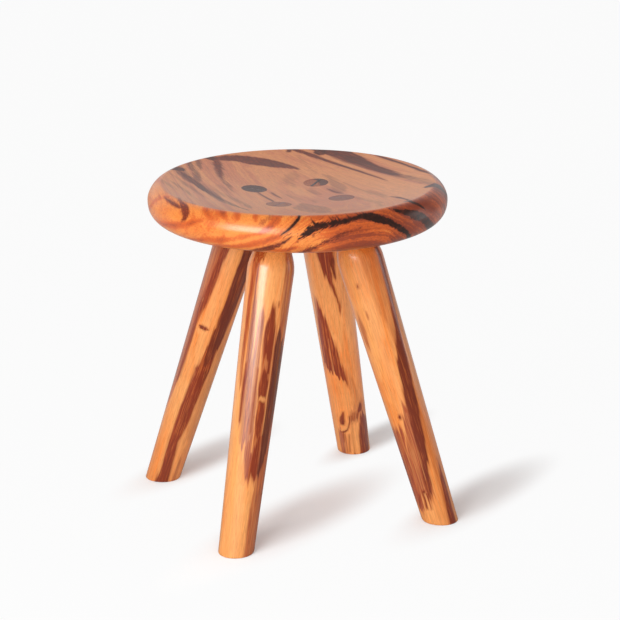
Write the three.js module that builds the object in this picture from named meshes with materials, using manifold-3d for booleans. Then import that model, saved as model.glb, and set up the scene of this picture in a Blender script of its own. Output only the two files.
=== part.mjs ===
// A four-legged wooden stool: a thick round seat with a shallow dish, and four tapered
// round legs that splay out to the corners. Each leg ends in a round tenon that goes
// right through the seat, and a thin wooden wedge spreads the tenon in its mortise.
//
// Millimetres, +Z up. The origin is on the floor, under the middle of the seat. The
// stool's front is -Y, so the legs stand front left, front right, back right, back left.

import * as THREE from 'three';
import { mergeVertices } from 'three/addons/utils/BufferGeometryUtils.js';
import Module from 'manifold-3d';

// Seat, a solid of revolution about the stool's axis
const SEAT_HEIGHT = 430;          // from the floor to the crisp rim round the dish
const SEAT_THICKNESS = 49;        // from the rim down to the flat underside
const SEAT_RADIUS = 190;          // at the widest part of the rounded side
const RIM_INSET = 17.5;           // the rim lies this far in from the widest part
const UNDERSIDE_INSET = 36;       // and so far in lies the edge of the flat underside
const WIDEST_DEPTH = 21;          // from the rim down to the widest part
const DISH_DEPTH = 19;            // from the rim down to the middle of the dish
const UPPER_ROUNDNESS = 1.65;     // exponent of the side's curve: 1 is a bevel, 2 an ellipse
const LOWER_ROUNDNESS = 2.5;      // the same below the widest part, where it is fuller

// Legs, each turned about its own axis. The first corner is the one between +X and +Y.
const CORNERS = ['back_right', 'back_left', 'front_left', 'front_right'];
const FIRST_CORNER_AZIMUTH = 45;  // degrees from +X
const SPLAY = 18.5;               // degrees that a leg leans out from the vertical
const LEG_CIRCLE_RADIUS = 71;     // where the leg axes meet the seat's underside
const FOOT_RADIUS = 22.2;         // leg radius at the floor
const WIDEST_LEG_RADIUS = 29.7;   // leg radius at its widest, just under the seat
const SHOULDER_LENGTH = 41;       // along the leg, from its widest part up to the seat
const SHOULDER_ROUNDING = 10;     // half the length over which the shoulder's corner is eased
const FOOT_BEVEL = 1.6;           // eased edge round the sole of each foot

// Tenons and their wedges
const TENON_RADIUS = 16;
const NECK_LEDGE = 1.5;           // the shoulder ends this much wider and stops the leg there
const JOINT_CLEARANCE = 0.3;      // between tenon and mortise, shoulder and seat, wedge and kerf
const WEDGE_TOP_THICKNESS = 3;    // where the wedge comes out in the dish
const WEDGE_TIP_THICKNESS = 1.2;
const WEDGE_LENGTH = 25;          // along the leg, from the dish down to the tip
const KERF_RELIEF = 2;            // empty end of the kerf below the wedge's tip

// Fineness of the faceted surfaces
const SEAT_SEGMENTS = 72;
const LEG_SEGMENTS = 32;
const DISH_STEPS = 8;
const SIDE_STEPS = 8;
const SHOULDER_STEPS = 6;

const wasm = await Module();
wasm.setup();

const SPLAY_RADIANS = THREE.MathUtils.degToRad(SPLAY);
const SPLAY_SINE = Math.sin(SPLAY_RADIANS);
const SPLAY_COSINE = Math.cos(SPLAY_RADIANS);

// The rings of the seat's profile
const RIM_RADIUS = SEAT_RADIUS - RIM_INSET;
const UNDERSIDE_RADIUS = SEAT_RADIUS - UNDERSIDE_INSET;
const UNDERSIDE_HEIGHT = SEAT_HEIGHT - SEAT_THICKNESS;
const WIDEST_HEIGHT = SEAT_HEIGHT - WIDEST_DEPTH;

// The leg axes go through this circle on the floor.
const FOOT_CIRCLE_RADIUS = LEG_CIRCLE_RADIUS + UNDERSIDE_HEIGHT * Math.tan(SPLAY_RADIANS);

// Top of the shoulder, which meets the underside round the mortise
const NECK_RADIUS = TENON_RADIUS + NECK_LEDGE;

// Distances along the leg axis from the floor
const AXIS_TO_UNDERSIDE = UNDERSIDE_HEIGHT / SPLAY_COSINE;
const AXIS_TO_SHOULDER = AXIS_TO_UNDERSIDE - SHOULDER_LENGTH;
// The neck is a ring on a leaning leg. Its higher side just clears the underside.
const AXIS_TO_NECK =
  (UNDERSIDE_HEIGHT - JOINT_CLEARANCE - NECK_RADIUS * SPLAY_SINE) / SPLAY_COSINE;
const AXIS_TO_DISH = axisToDish();

// How far a cutting shape, or a piece that is still to be cut, reaches past the cut
const OVERRUN = SEAT_RADIUS;

// Height of the dish at a distance from the stool's axis
function dishHeight(radius) {
  const share = radius / RIM_RADIUS;
  return SEAT_HEIGHT - DISH_DEPTH * (1 - share * share);
}

// Where a leg axis comes out of the dish, found by repeating the height at the last radius
function axisToDish() {
  const PASSES = 20;
  let along = SEAT_HEIGHT / SPLAY_COSINE;
  for (let pass = 0; pass < PASSES; pass += 1) {
    const radius = FOOT_CIRCLE_RADIUS - along * SPLAY_SINE;
    along = dishHeight(radius) / SPLAY_COSINE;
  }
  return along;
}

// Quarter of a superellipse from its flat end at (innerRadius, endHeight) to its upright
// end at (outerRadius, middleHeight), as points of a turned profile
function quarterRound(innerRadius, endHeight, outerRadius, middleHeight, roundness) {
  const points = [];
  const power = 2 / roundness;
  for (let step = 0; step <= SIDE_STEPS; step += 1) {
    const turn = (step / SIDE_STEPS) * (Math.PI / 2);
    const radius = innerRadius + (outerRadius - innerRadius) * Math.sin(turn) ** power;
    const height = middleHeight + (endHeight - middleHeight) * Math.cos(turn) ** power;
    points.push(new THREE.Vector2(radius, height));
  }
  return points;
}

// Points of the dish from the middle out to the rim
function dishProfile() {
  const points = [];
  for (let step = 0; step <= DISH_STEPS; step += 1) {
    const radius = (step / DISH_STEPS) * RIM_RADIUS;
    points.push(new THREE.Vector2(radius, dishHeight(radius)));
  }
  return points;
}

// Turns a profile of (radius, height) points, given from bottom to top, about +Z
function turned(profile, segments) {
  const geometry = new THREE.LatheGeometry(profile, segments);
  geometry.rotateX(Math.PI / 2);
  return geometry;
}

// Makes a boolean solid from a closed geometry
function solidFrom(geometry) {
  const bare = geometry.clone();
  bare.deleteAttribute('normal');
  bare.deleteAttribute('uv');
  const merged = mergeVertices(bare);
  const mesh = new wasm.Mesh({
    numProp: 3,
    vertProperties: Float32Array.from(merged.attributes.position.array),
    triVerts: Uint32Array.from(merged.index.array),
  });
  return new wasm.Manifold(mesh);
}

// Makes a geometry from a boolean solid
function geometryFrom(solid) {
  const mesh = solid.getMesh();
  const geometry = new THREE.BufferGeometry();
  const positions = new THREE.BufferAttribute(Float32Array.from(mesh.vertProperties), 3);
  geometry.setAttribute('position', positions);
  geometry.setIndex(new THREE.BufferAttribute(Uint32Array.from(mesh.triVerts), 1));
  geometry.computeVertexNormals();
  return geometry;
}

// Leans a solid that was made upright round +Z, with its floor point at the origin, so
// that it lies on the axis of a leg that splays out along +X.
const leaning = new THREE.Matrix4()
  .makeTranslation(FOOT_CIRCLE_RADIUS, 0, 0)
  .multiply(new THREE.Matrix4().makeRotationY(-SPLAY_RADIANS));

function leanedSolid(geometry) {
  return solidFrom(geometry.clone().applyMatrix4(leaning));
}

// Everything under the dish. It trims tenons and wedges flush with the seat.
function underDish() {
  const profile = [
    new THREE.Vector2(0, -OVERRUN),
    new THREE.Vector2(FOOT_CIRCLE_RADIUS + OVERRUN, -OVERRUN),
    new THREE.Vector2(FOOT_CIRCLE_RADIUS + OVERRUN, SEAT_HEIGHT),
    ...dishProfile().reverse(),
  ];
  return solidFrom(turned(profile, SEAT_SEGMENTS));
}

// Opens upward from the sole like a funnel with 45 degree walls that leans with the leg.
// It cuts the foot off flat at the floor and eases the edge of the sole.
function footTrim() {
  const rise = SEAT_HEIGHT + OVERRUN;
  const soleRadius = FOOT_RADIUS - FOOT_BEVEL;
  const funnel = turned(
    [
      new THREE.Vector2(0, 0),
      new THREE.Vector2(soleRadius, 0),
      new THREE.Vector2(soleRadius + rise, rise),
      new THREE.Vector2(0, rise),
    ],
    LEG_SEGMENTS,
  );
  // The floor cuts the leaning leg in an ellipse, longer the way the leg leans.
  const longer = (FOOT_RADIUS / SPLAY_COSINE - FOOT_BEVEL) / soleRadius;
  const lean = new THREE.Matrix4().makeShear(0, 0, 0, 0, -Math.tan(SPLAY_RADIANS), 0);
  funnel.scale(longer, 1, 1);
  funnel.applyMatrix4(lean);
  funnel.translate(FOOT_CIRCLE_RADIUS, 0, 0);
  return solidFrom(funnel);
}

// Profile of a leg from below the floor up past the dish
function legProfile() {
  const taper = (WIDEST_LEG_RADIUS - FOOT_RADIUS) / AXIS_TO_SHOULDER;
  const closing = (NECK_RADIUS - WIDEST_LEG_RADIUS) / (AXIS_TO_NECK - AXIS_TO_SHOULDER);
  const belowFloor = 2 * FOOT_RADIUS;
  const easing = new THREE.QuadraticBezierCurve(
    new THREE.Vector2(
      WIDEST_LEG_RADIUS - taper * SHOULDER_ROUNDING,
      AXIS_TO_SHOULDER - SHOULDER_ROUNDING,
    ),
    new THREE.Vector2(WIDEST_LEG_RADIUS, AXIS_TO_SHOULDER),
    new THREE.Vector2(
      WIDEST_LEG_RADIUS + closing * SHOULDER_ROUNDING,
      AXIS_TO_SHOULDER + SHOULDER_ROUNDING,
    ),
  );
  return [
    new THREE.Vector2(0, -belowFloor),
    new THREE.Vector2(FOOT_RADIUS - taper * belowFloor, -belowFloor),
    ...easing.getPoints(SHOULDER_STEPS),
    new THREE.Vector2(NECK_RADIUS, AXIS_TO_NECK),
    new THREE.Vector2(TENON_RADIUS, AXIS_TO_NECK),
    new THREE.Vector2(TENON_RADIUS, AXIS_TO_DISH + OVERRUN),
    new THREE.Vector2(0, AXIS_TO_DISH + OVERRUN),
  ];
}

// A flat tapered plate in the plane in which the leg leans, wider than the tenon. Its
// faces stand off from the wedge's by the clearance, and its tip reaches on by the relief.
function wedgePlate(clearance, relief) {
  const taper = (WEDGE_TOP_THICKNESS - WEDGE_TIP_THICKNESS) / WEDGE_LENGTH;
  const tip = -WEDGE_LENGTH - relief;
  const top = OVERRUN;
  const tipHalf = (WEDGE_TOP_THICKNESS + taper * tip) / 2 + clearance;
  const topHalf = (WEDGE_TOP_THICKNESS + taper * top) / 2 + clearance;
  const width = 2 * (TENON_RADIUS + JOINT_CLEARANCE);
  const outline = new THREE.Shape([
    new THREE.Vector2(-tipHalf, tip),
    new THREE.Vector2(tipHalf, tip),
    new THREE.Vector2(topHalf, top),
    new THREE.Vector2(-topHalf, top),
  ]);
  const plate = new THREE.ExtrudeGeometry(outline, { depth: width, bevelEnabled: false });
  plate.translate(0, 0, -width / 2);
  // The outline's thickness goes to Y, its length up Z, and the width along X.
  const across = new THREE.Vector3(0, 1, 0);
  const along = new THREE.Vector3(0, 0, 1);
  const wide = new THREE.Vector3(1, 0, 0);
  plate.applyMatrix4(new THREE.Matrix4().makeBasis(across, along, wide));
  plate.translate(0, 0, AXIS_TO_DISH);
  return plate;
}

// A round bar along the leg axis from below the seat to above it
function axialBar(radius) {
  return turned(
    [
      new THREE.Vector2(0, AXIS_TO_SHOULDER),
      new THREE.Vector2(radius, AXIS_TO_SHOULDER),
      new THREE.Vector2(radius, AXIS_TO_DISH + OVERRUN),
      new THREE.Vector2(0, AXIS_TO_DISH + OVERRUN),
    ],
    LEG_SEGMENTS,
  );
}

function cornerAzimuth(index) {
  return THREE.MathUtils.degToRad(FIRST_CORNER_AZIMUTH + (index * 360) / CORNERS.length);
}

function makeSeat() {
  const lower = quarterRound(
    UNDERSIDE_RADIUS, UNDERSIDE_HEIGHT, SEAT_RADIUS, WIDEST_HEIGHT, LOWER_ROUNDNESS);
  const upper = quarterRound(
    RIM_RADIUS, SEAT_HEIGHT, SEAT_RADIUS, WIDEST_HEIGHT, UPPER_ROUNDNESS);
  const profile = [
    new THREE.Vector2(0, UNDERSIDE_HEIGHT),
    ...lower,
    ...upper.reverse().slice(1),
    ...dishProfile().reverse().slice(1),
  ];
  let seat = solidFrom(turned(profile, SEAT_SEGMENTS));
  for (let index = 0; index < CORNERS.length; index += 1) {
    const mortise = axialBar(TENON_RADIUS + JOINT_CLEARANCE).applyMatrix4(leaning);
    mortise.rotateZ(cornerAzimuth(index));
    seat = seat.subtract(solidFrom(mortise));
  }
  return geometryFrom(seat);
}

function makeLeg() {
  const kerf = leanedSolid(wedgePlate(JOINT_CLEARANCE, KERF_RELIEF));
  const leg = leanedSolid(turned(legProfile(), LEG_SEGMENTS));
  return geometryFrom(leg.subtract(kerf).intersect(underDish()).intersect(footTrim()));
}

function makeWedge() {
  const plate = leanedSolid(wedgePlate(0, 0));
  const bar = leanedSolid(axialBar(TENON_RADIUS));
  return geometryFrom(plate.intersect(bar).intersect(underDish()));
}

const seatWood = { color: 0xb4683c, roughness: 0.42, metalness: 0 };
const legWood = { color: 0xcd8448, roughness: 0.42, metalness: 0 };
const wedgeWood = { color: 0x4a3530, roughness: 0.5, metalness: 0 };

function namedMesh(name, geometry, finish) {
  const mesh = new THREE.Mesh(geometry, new THREE.MeshStandardMaterial(finish));
  mesh.name = name;
  return mesh;
}

const stool = new THREE.Group();
stool.add(namedMesh('seat', makeSeat(), seatWood));

// Legs and wedges are made once, leaning out along +X, and turned to their corners.
const legGeometry = makeLeg();
const wedgeGeometry = makeWedge();
for (const [index, corner] of CORNERS.entries()) {
  const joinery = new THREE.Group();
  joinery.rotation.z = cornerAzimuth(index);
  joinery.add(namedMesh(`leg_${corner}`, legGeometry, legWood));
  joinery.add(namedMesh(`wedge_${corner}`, wedgeGeometry, wedgeWood));
  stool.add(joinery);
}

export default stool;
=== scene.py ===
import math

import bpy
import numpy as np
from bpy.props import FloatProperty, FloatVectorProperty, PointerProperty
from mathutils import Matrix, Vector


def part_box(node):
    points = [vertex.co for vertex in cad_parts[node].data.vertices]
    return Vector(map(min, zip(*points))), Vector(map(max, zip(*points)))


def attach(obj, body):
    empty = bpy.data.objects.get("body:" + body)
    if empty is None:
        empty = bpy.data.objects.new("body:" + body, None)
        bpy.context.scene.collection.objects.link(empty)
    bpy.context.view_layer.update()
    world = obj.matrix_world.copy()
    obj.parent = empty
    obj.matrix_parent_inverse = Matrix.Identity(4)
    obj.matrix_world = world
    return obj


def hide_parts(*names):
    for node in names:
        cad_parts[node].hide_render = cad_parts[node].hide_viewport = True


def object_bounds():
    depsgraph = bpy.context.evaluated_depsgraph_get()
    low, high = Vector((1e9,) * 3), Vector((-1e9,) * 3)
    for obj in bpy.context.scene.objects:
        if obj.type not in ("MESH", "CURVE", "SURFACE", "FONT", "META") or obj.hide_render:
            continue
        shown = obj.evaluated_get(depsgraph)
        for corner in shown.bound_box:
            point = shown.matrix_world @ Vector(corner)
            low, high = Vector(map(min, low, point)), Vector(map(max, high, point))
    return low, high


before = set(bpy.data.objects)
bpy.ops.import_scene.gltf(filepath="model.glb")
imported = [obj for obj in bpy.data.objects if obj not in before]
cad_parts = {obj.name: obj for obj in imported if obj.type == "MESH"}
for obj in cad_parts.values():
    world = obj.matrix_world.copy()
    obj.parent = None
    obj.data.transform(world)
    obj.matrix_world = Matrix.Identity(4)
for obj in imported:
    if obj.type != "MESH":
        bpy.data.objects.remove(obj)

bl_info = {
    "name": "Wooden Stool",
    "version": (1, 0, 0),
    "blender": (4, 5, 0),
    "location": "3D View > Sidebar > Stool",
    "description": "Dresses the stool's CAD frame with its seat, legs and wedges in streaked wood",
    "category": "Add Mesh",
}

CAD_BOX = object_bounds()
SEAT_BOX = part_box("seat")

MM = 0.001                       # the streaks and the noise are written in millimetres
CORNERS = (("back_right", 45.0), ("back_left", 135.0), ("front_left", 225.0),
           ("front_right", 315.0))   # each leg and the direction of its splay

# Fineness of the surfaces
EDGE_CELLS = 80                  # from the stool's axis out to the rim, along a quadrant's edges
ARC_CELLS = 126                  # along each quadrant's quarter of the rim
DISH_CELLS = 44                  # from a mortise out to the quadrant's outline, on the dish
BASE_CELLS = 10                  # the same on the flat underside
MORTISE_CELLS = 2
SIDE_CELLS = 40                  # down the rounded side
PROFILE_POINTS = 400             # on each half of the side's profile, before it is spaced evenly
STREAK_CELLS = 200               # down the side, where the streaks are laid on it
CHEEK_CELLS = 76                 # round each half of a tenon
KERF_CELLS = 4                   # across the kerf
KERF_LEVELS = 8                  # up the kerf
SHAFT_CELLS = 150                # up a leg's long taper
SHOULDER_CELLS = 22
TENON_CELLS = 3                  # up the whole part of a tenon
BEVEL_CELLS = 4
SOLE_CELLS = 6
CAP_CELLS = 12                   # on a cheek's end, from the kerf out to the round
WEDGE_CELLS = (32, 4, 16)        # across a wedge, through it and up it
FLOOR_RINGS, FLOOR_SPOKES = 40, 96
DISH_GUESSES = 12                # to find where a line comes out of the dish
CREASE_ANGLE = math.radians(30)  # edges sharper than this are shaded as edges
WELD_STEPS = 1e7                 # per metre: points closer than a tenth of a micron are one
SAME_PLACE = 1e-6                # metres within which a point lies on the rim


def srgb(red, green, blue):
    """Linear colour of an sRGB colour written in 0..255, by the sRGB curve."""
    share = np.array([red, green, blue]) / 255
    return tuple(np.where(share <= 0.04045, share / 12.92, ((share + 0.055) / 1.055) ** 2.4))


def length(name, description, default):
    return FloatProperty(name=name, description=description, default=default, min=0.0,
                         unit="LENGTH")


def colour(name, description, default):
    return FloatVectorProperty(name=name, description=description, default=srgb(*default),
                               size=3, min=0.0, max=1.0, subtype="COLOR")


class StoolSizes(bpy.types.PropertyGroup):
    seat_height: length("Seat height", "From the floor to the rim of the dish", CAD_BOX[1].z)
    seat_thickness: length("Seat thickness", "From the rim down to the flat underside",
                           SEAT_BOX[1].z - SEAT_BOX[0].z)
    seat_radius: length("Seat radius", "At the widest part of the rounded side", SEAT_BOX[1].x)
    rim_inset: length("Rim inset", "From the widest part in to the rim of the dish", 0.0175)
    underside_inset: length("Underside inset", "From the widest part in to the underside", 0.036)
    widest_depth: length("Widest depth", "From the rim down to the widest part", 0.021)
    dish_depth: length("Dish depth", "From the rim down to the middle of the dish", 0.019)
    upper_roundness: FloatProperty(
        name="Upper roundness", default=1.65, min=1, max=4,
        description="Exponent of the side above its widest part: 1 is a bevel, 2 an ellipse")
    lower_roundness: FloatProperty(name="Lower roundness", default=2.5, min=1, max=4,
                                   description="The same below the widest part")
    splay: FloatProperty(name="Splay", description="How far a leg leans out from the vertical",
                         default=math.radians(18.5), unit="ROTATION")
    leg_circle_radius: length("Leg circle radius", "Where the leg axes meet the underside", 0.071)
    foot_radius: length("Foot radius", "Leg radius at the floor", 0.0222)
    widest_leg_radius: length("Widest leg radius", "Leg radius just under the seat", 0.0297)
    shoulder_length: length("Shoulder length", "From a leg's widest part up to the seat", 0.041)
    shoulder_rounding: length("Shoulder rounding", "Half the length that eases it", 0.010)
    foot_bevel: length("Foot bevel", "Eased edge round the sole", 0.0016)
    tenon_radius: length("Tenon radius", "Radius of the tenon in the seat", 0.016)
    neck_ledge: length("Neck ledge", "How much wider than the tenon the shoulder ends", 0.0015)
    shoulder_gap: length("Shoulder gap", "Between a leg's shoulder and the underside", 0.0003)
    glue_line: length("Glue line", "Round a tenon in its mortise and a wedge in its kerf", 0.0001)
    wedge_top: length("Wedge top", "Thickness of a wedge in the dish", 0.003)
    wedge_tip: length("Wedge tip", "Thickness of a wedge at its lower end", 0.0012)
    wedge_length: length("Wedge length", "Along the leg from the dish down to the tip", 0.025)
    kerf_relief: length("Kerf relief", "Empty end of the kerf under a wedge", 0.002)


class StoolColours(bpy.types.PropertyGroup):
    seat_light: colour("Seat light wood", "Lightest orange wood of the seat", (232, 138, 60))
    seat_deep: colour("Seat wood", "Deep orange wood of the seat", (206, 94, 32))
    seat_red: colour("Seat red wood", "Red brown wood of the seat", (146, 60, 30))
    seat_soft: colour("Seat soft bands", "Soft reddish brown bands of the side", (150, 62, 32))
    seat_faded: colour("Seat faded bands", "Soft greyish brown bands of the dish", (110, 65, 50))
    seat_streak: colour("Seat streaks", "Dark red brown of the seat's streaks", (124, 48, 24))
    seat_black: colour("Seat black streaks", "Near black of the darkest streaks", (48, 24, 17))
    # Pale tan of the dish: partly wear, partly a painted sheen that stands in for the dish's
    # whitish reflection
    seat_wear_and_sheen: colour("Worn dish", "Pale tan that wear gives the dish", (218, 174, 148))
    leg_light: colour("Leg light wood", "Lightest wood of the legs", (237, 160, 89))
    leg_deep: colour("Leg wood", "Orange wood of the legs", (236, 131, 47))
    leg_red: colour("Leg red wood", "Redder wood of the legs", (196, 92, 36))
    leg_soft: colour("Leg soft bands", "Soft orange brown bands of the legs", (158, 60, 14))
    leg_mauve: colour("Leg mauve bands", "Soft purplish brown bands of the legs", (142, 78, 72))
    leg_streak: colour("Leg streaks", "Red brown of the legs' streaks", (146, 52, 10))
    leg_black: colour("Leg dark streaks", "Dark brown of the darkest streaks", (88, 33, 10))
    wedge: colour("Wedge", "Dark end grain of the wedges", (70, 50, 46))
    floor: colour("Floor", "Studio floor", (240, 240, 240))


class Surfaces:
    """Collects grids of points, and welds them into one closed mesh."""

    def __init__(self):
        self.points, self.faces, self.count = [], [], 0

    def add(self, grid, wrap=False, flip=False):
        """Adds a grid of shape (rows, columns, 3). Its faces point along (next column) x (next
        row), or the other way with flip. With wrap, the last column is joined to the first."""
        rows, columns = grid.shape[:2]
        index = self.count + np.arange(rows * columns).reshape(rows, columns)
        if wrap:
            index = np.concatenate([index, index[:, :1]], 1)
        faces = np.stack([index[:-1, :-1], index[:-1, 1:], index[1:, 1:], index[1:, :-1]], -1)
        faces = faces.reshape(-1, 4)
        self.faces.append(faces[:, ::-1] if flip else faces)
        self.points.append(grid.reshape(-1, 3))
        self.count += rows * columns

    def welded(self):
        """The points, each place only once, and the faces between them."""
        points, faces = np.concatenate(self.points), np.concatenate(self.faces)
        keys = np.round(points * WELD_STEPS).astype(np.int64)
        _, first, merged = np.unique(keys, axis=0, return_index=True, return_inverse=True)
        return points[first], merged.reshape(-1)[faces]


def make_object(name, surfaces, material, slot, *nodes):
    """Makes the welded surfaces a smooth mesh object that stands for the CAD nodes. A face two
    of whose corners were welded is a triangle, and one that lost more is left out."""
    points, quads = surfaces.welded()
    repeats = quads == np.roll(quads, -1, axis=1)
    kept = repeats.sum(1) <= 1
    quads, used = quads[kept], ~repeats[kept]
    sizes = used.sum(1)
    mesh = bpy.data.meshes.new(name)
    mesh.vertices.add(len(points))
    mesh.vertices.foreach_set("co", points.astype(np.float32).ravel())
    mesh.loops.add(int(sizes.sum()))
    mesh.loops.foreach_set("vertex_index", quads[used].astype(np.int32))
    mesh.polygons.add(len(quads))
    mesh.polygons.foreach_set("loop_start", (np.cumsum(sizes) - sizes).astype(np.int32))
    mesh.update(calc_edges=True)
    if mesh.validate():
        raise RuntimeError(f"{name}: the mesh had faults")
    mesh.polygons.foreach_set("use_smooth", np.ones(len(quads), bool))
    mesh.set_sharp_from_angle(angle=CREASE_ANGLE)
    mesh.materials.append(material)
    piece = bpy.data.objects.new(name, mesh)
    bpy.context.scene.collection.objects.link(piece)
    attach(piece, "root")
    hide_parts(*nodes)
    return piece


def vector_array(items, key):
    """The vectors that a mesh's items keep under this key, as rows."""
    values = np.empty(len(items) * 3, np.float32)
    items.foreach_get(key, values)
    return values.reshape(-1, 3).astype(float)


def set_number(mesh, name, values):
    values = np.broadcast_to(values, len(mesh.vertices)).astype(np.float32)
    mesh.attributes.new(name, "FLOAT", "POINT").data.foreach_set("value", values)


def set_vector(mesh, name, x, y, z):
    values = np.stack(np.broadcast_arrays(x, y, z), -1).astype(np.float32)
    mesh.attributes.new(name, "FLOAT_VECTOR", "POINT").data.foreach_set("vector", values.ravel())


def blend_steps(values, low, high):
    """0 below low, 1 above high, and the smooth cubic 3t^2 - 2t^3 between them."""
    share = np.clip((values - low) / (high - low), 0, 1)
    return share * share * (3 - 2 * share)


def polar(radius, turn, *height):
    """Points at these radii and angles round an axis, and at this height if one is given."""
    return np.stack(np.broadcast_arrays(radius * np.cos(turn), radius * np.sin(turn), *height), -1)


def ruled(start, end, cells):
    """Rows of points, evenly spaced on the straight lines from start to end."""
    share = np.linspace(0, 1, cells + 1)[:, None, None]
    return start * (1 - share) + end * share


def dish_height(sizes, radius):
    """The rim's height, less the dish's depth times (1 - the square of radius over rim radius)."""
    rim = sizes.seat_radius - sizes.rim_inset
    return sizes.seat_height - sizes.dish_depth * (1 - (radius / rim) ** 2)


def side_profile(sizes, cells):
    """Radii and heights down the rounded side, from the rim to the underside, and the distances
    from the rim at which they lie, which are evenly spaced. The profile is two quarters of
    superellipses, sin(t)^(2/n) outwards and cos(t)^(2/n) up or down from the widest part, with
    their own exponents n."""
    fine = np.linspace(0, math.pi / 2, PROFILE_POINTS)
    widest = sizes.seat_height - sizes.widest_depth
    quarters = []
    for inset, rise, roundness in (
            (sizes.rim_inset, sizes.widest_depth, sizes.upper_roundness),
            (sizes.underside_inset, sizes.widest_depth - sizes.seat_thickness,
             sizes.lower_roundness)):
        quarters.append((sizes.seat_radius - inset + inset * np.sin(fine) ** (2 / roundness),
                         widest + rise * np.cos(fine).clip(0) ** (2 / roundness)))
    radii, heights = (np.concatenate([top, low[::-1][1:]]) for top, low in zip(*quarters))
    along = np.concatenate([[0], np.cumsum(np.hypot(np.diff(radii), np.diff(heights)))])
    even = np.linspace(0, along[-1], cells + 1)
    return np.interp(even, along, radii), np.interp(even, along, heights), even


def quarter_turn(azimuth):
    """Angles round the quarter whose middle is the azimuth, without the last one."""
    return np.linspace(math.radians(azimuth - 45), math.radians(azimuth + 45), ARC_CELLS,
                       endpoint=False)


def quadrant_outline(radius, azimuth):
    """Closed outline of a quarter disc round the stool's axis: out along its first edge, round the
    arc and back along its second edge, evenly spaced on each."""
    out = np.linspace(0, radius, EDGE_CELLS, endpoint=False)
    back = np.linspace(radius, 0, EDGE_CELLS, endpoint=False)
    return np.concatenate([polar(out, math.radians(azimuth - 45)),
                           polar(radius, quarter_turn(azimuth)),
                           polar(back, math.radians(azimuth + 45))])


class LegFrame:
    """A leg's own frame: x points out in the direction of its splay, y to its left as seen from
    outside, and 'along' runs up its axis from the floor."""

    def __init__(self, sizes, azimuth):
        self.sizes, self.turn = sizes, math.radians(azimuth)
        self.sine, self.cosine = math.sin(sizes.splay), math.cos(sizes.splay)
        underside = sizes.seat_height - sizes.seat_thickness
        self.foot_circle = sizes.leg_circle_radius + underside * math.tan(sizes.splay)
        self.neck_radius = sizes.tenon_radius + sizes.neck_ledge
        self.neck = self.along_to_height(self.neck_radius, underside - sizes.shoulder_gap)
        self.shoulder = underside / self.cosine - sizes.shoulder_length
        self.dish = float(self.along_to_dish(0.0, 0.0))

    def world(self, x, y, along):
        """Turns the leaning frame upright about y, moves it to the foot's place and turns it to
        the leg's corner."""
        out = self.foot_circle + x * self.cosine - along * self.sine
        height = x * self.sine + along * self.cosine
        return np.stack([out * math.cos(self.turn) - y * math.sin(self.turn),
                         out * math.sin(self.turn) + y * math.cos(self.turn), height], -1)

    def local(self, points):
        """The inverse of world: x, y and along."""
        east, north, height = points.T
        out = east * math.cos(self.turn) + north * math.sin(self.turn) - self.foot_circle
        y = north * math.cos(self.turn) - east * math.sin(self.turn)
        return (out * self.cosine + height * self.sine, y,
                height * self.cosine - out * self.sine)

    def along_to_height(self, x, height):
        """Where a line parallel to the axis, x out from it, comes to this height."""
        return (height - x * self.sine) / self.cosine

    def along_to_dish(self, x, y):
        """Where a line parallel to the axis comes out of the dish: the dish's height over the last
        guess gives the next one, a few times over."""
        along = np.full(np.shape(x), self.sizes.seat_height / self.cosine)
        for _ in range(DISH_GUESSES):
            out = self.foot_circle + x * self.cosine - along * self.sine
            along = self.along_to_height(x, dish_height(self.sizes, np.hypot(out, y)))
        return along

    def shaft_radius(self, along):
        """A straight taper from the foot to the widest part and a straight cone from there to the
        neck, eased round their corner by a quadratic curve between the two lines."""
        widest, ease = self.sizes.widest_leg_radius, self.sizes.shoulder_rounding
        foot = self.sizes.foot_radius
        taper = (widest - foot) / self.shoulder
        cone = (self.neck_radius - widest) / (self.neck - self.shoulder)
        straight = np.where(along < self.shoulder, foot + taper * along,
                            widest + cone * (along - self.shoulder))
        share = np.clip((along - self.shoulder + ease) / (2 * ease), 0, 1)
        start, end = widest - taper * ease, widest + cone * ease
        eased = (1 - share) ** 2 * start + 2 * share * (1 - share) * widest + share ** 2 * end
        return np.where(abs(along - self.shoulder) < ease, eased, straight)

    def kerf_half(self, along):
        """Half the wedge's thickness at a place along the leg, thinner towards its tip."""
        sizes = self.sizes
        share = np.clip((along - self.dish + sizes.wedge_length) / sizes.wedge_length, -0.2, 1.2)
        return (sizes.wedge_tip + (sizes.wedge_top - sizes.wedge_tip) * share) / 2


FAR = 25.0                       # no point farther than this from a streak needs its depth
LINE_REACH = 5.0                 # a thin line's middle is followed this far to its sides
LINE_CLEAR = 3.5                 # and beyond that, points count as this far outside its edge
NO_STREAK = -1000.0              # depth where no streak is near
NO_BAND = -100.0                 # the same for the bands of the legs
# Sines that leave a band's ends ragged: height in millimetres, waves round the leg and phase
RAGGED_WAVES = ((3.0, 36, 0), (2.5, 23, 1), (2.0, 13, 2))
END_SLOPE = 0.3                  # depth gained per millimetre in from a band's end, so ends fray
MARK_SLOPE = 0.8                 # the same for the small crisp marks


def smooth_path(rows, steps=4):
    """A smooth curve through the rows, whose tangent at a row points from the row before it to
    the row after it (Catmull-Rom), with the other columns carried along in the same way."""
    rows = np.asarray(rows, float)
    padded = np.concatenate([[2 * rows[0] - rows[1]], rows, [2 * rows[-1] - rows[-2]]])
    share = (np.arange(steps) / steps)[:, None, None]
    a, b, c, d = padded[:-3], padded[1:-2], padded[2:-1], padded[3:]
    curve = 0.5 * (2 * b + (c - a) * share + (2 * a - 5 * b + 4 * c - d) * share ** 2
                   + (3 * b - a - 3 * c + d) * share ** 3)
    return np.concatenate([curve.transpose(1, 0, 2).reshape(-1, rows.shape[1]), rows[-1:]])


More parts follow.
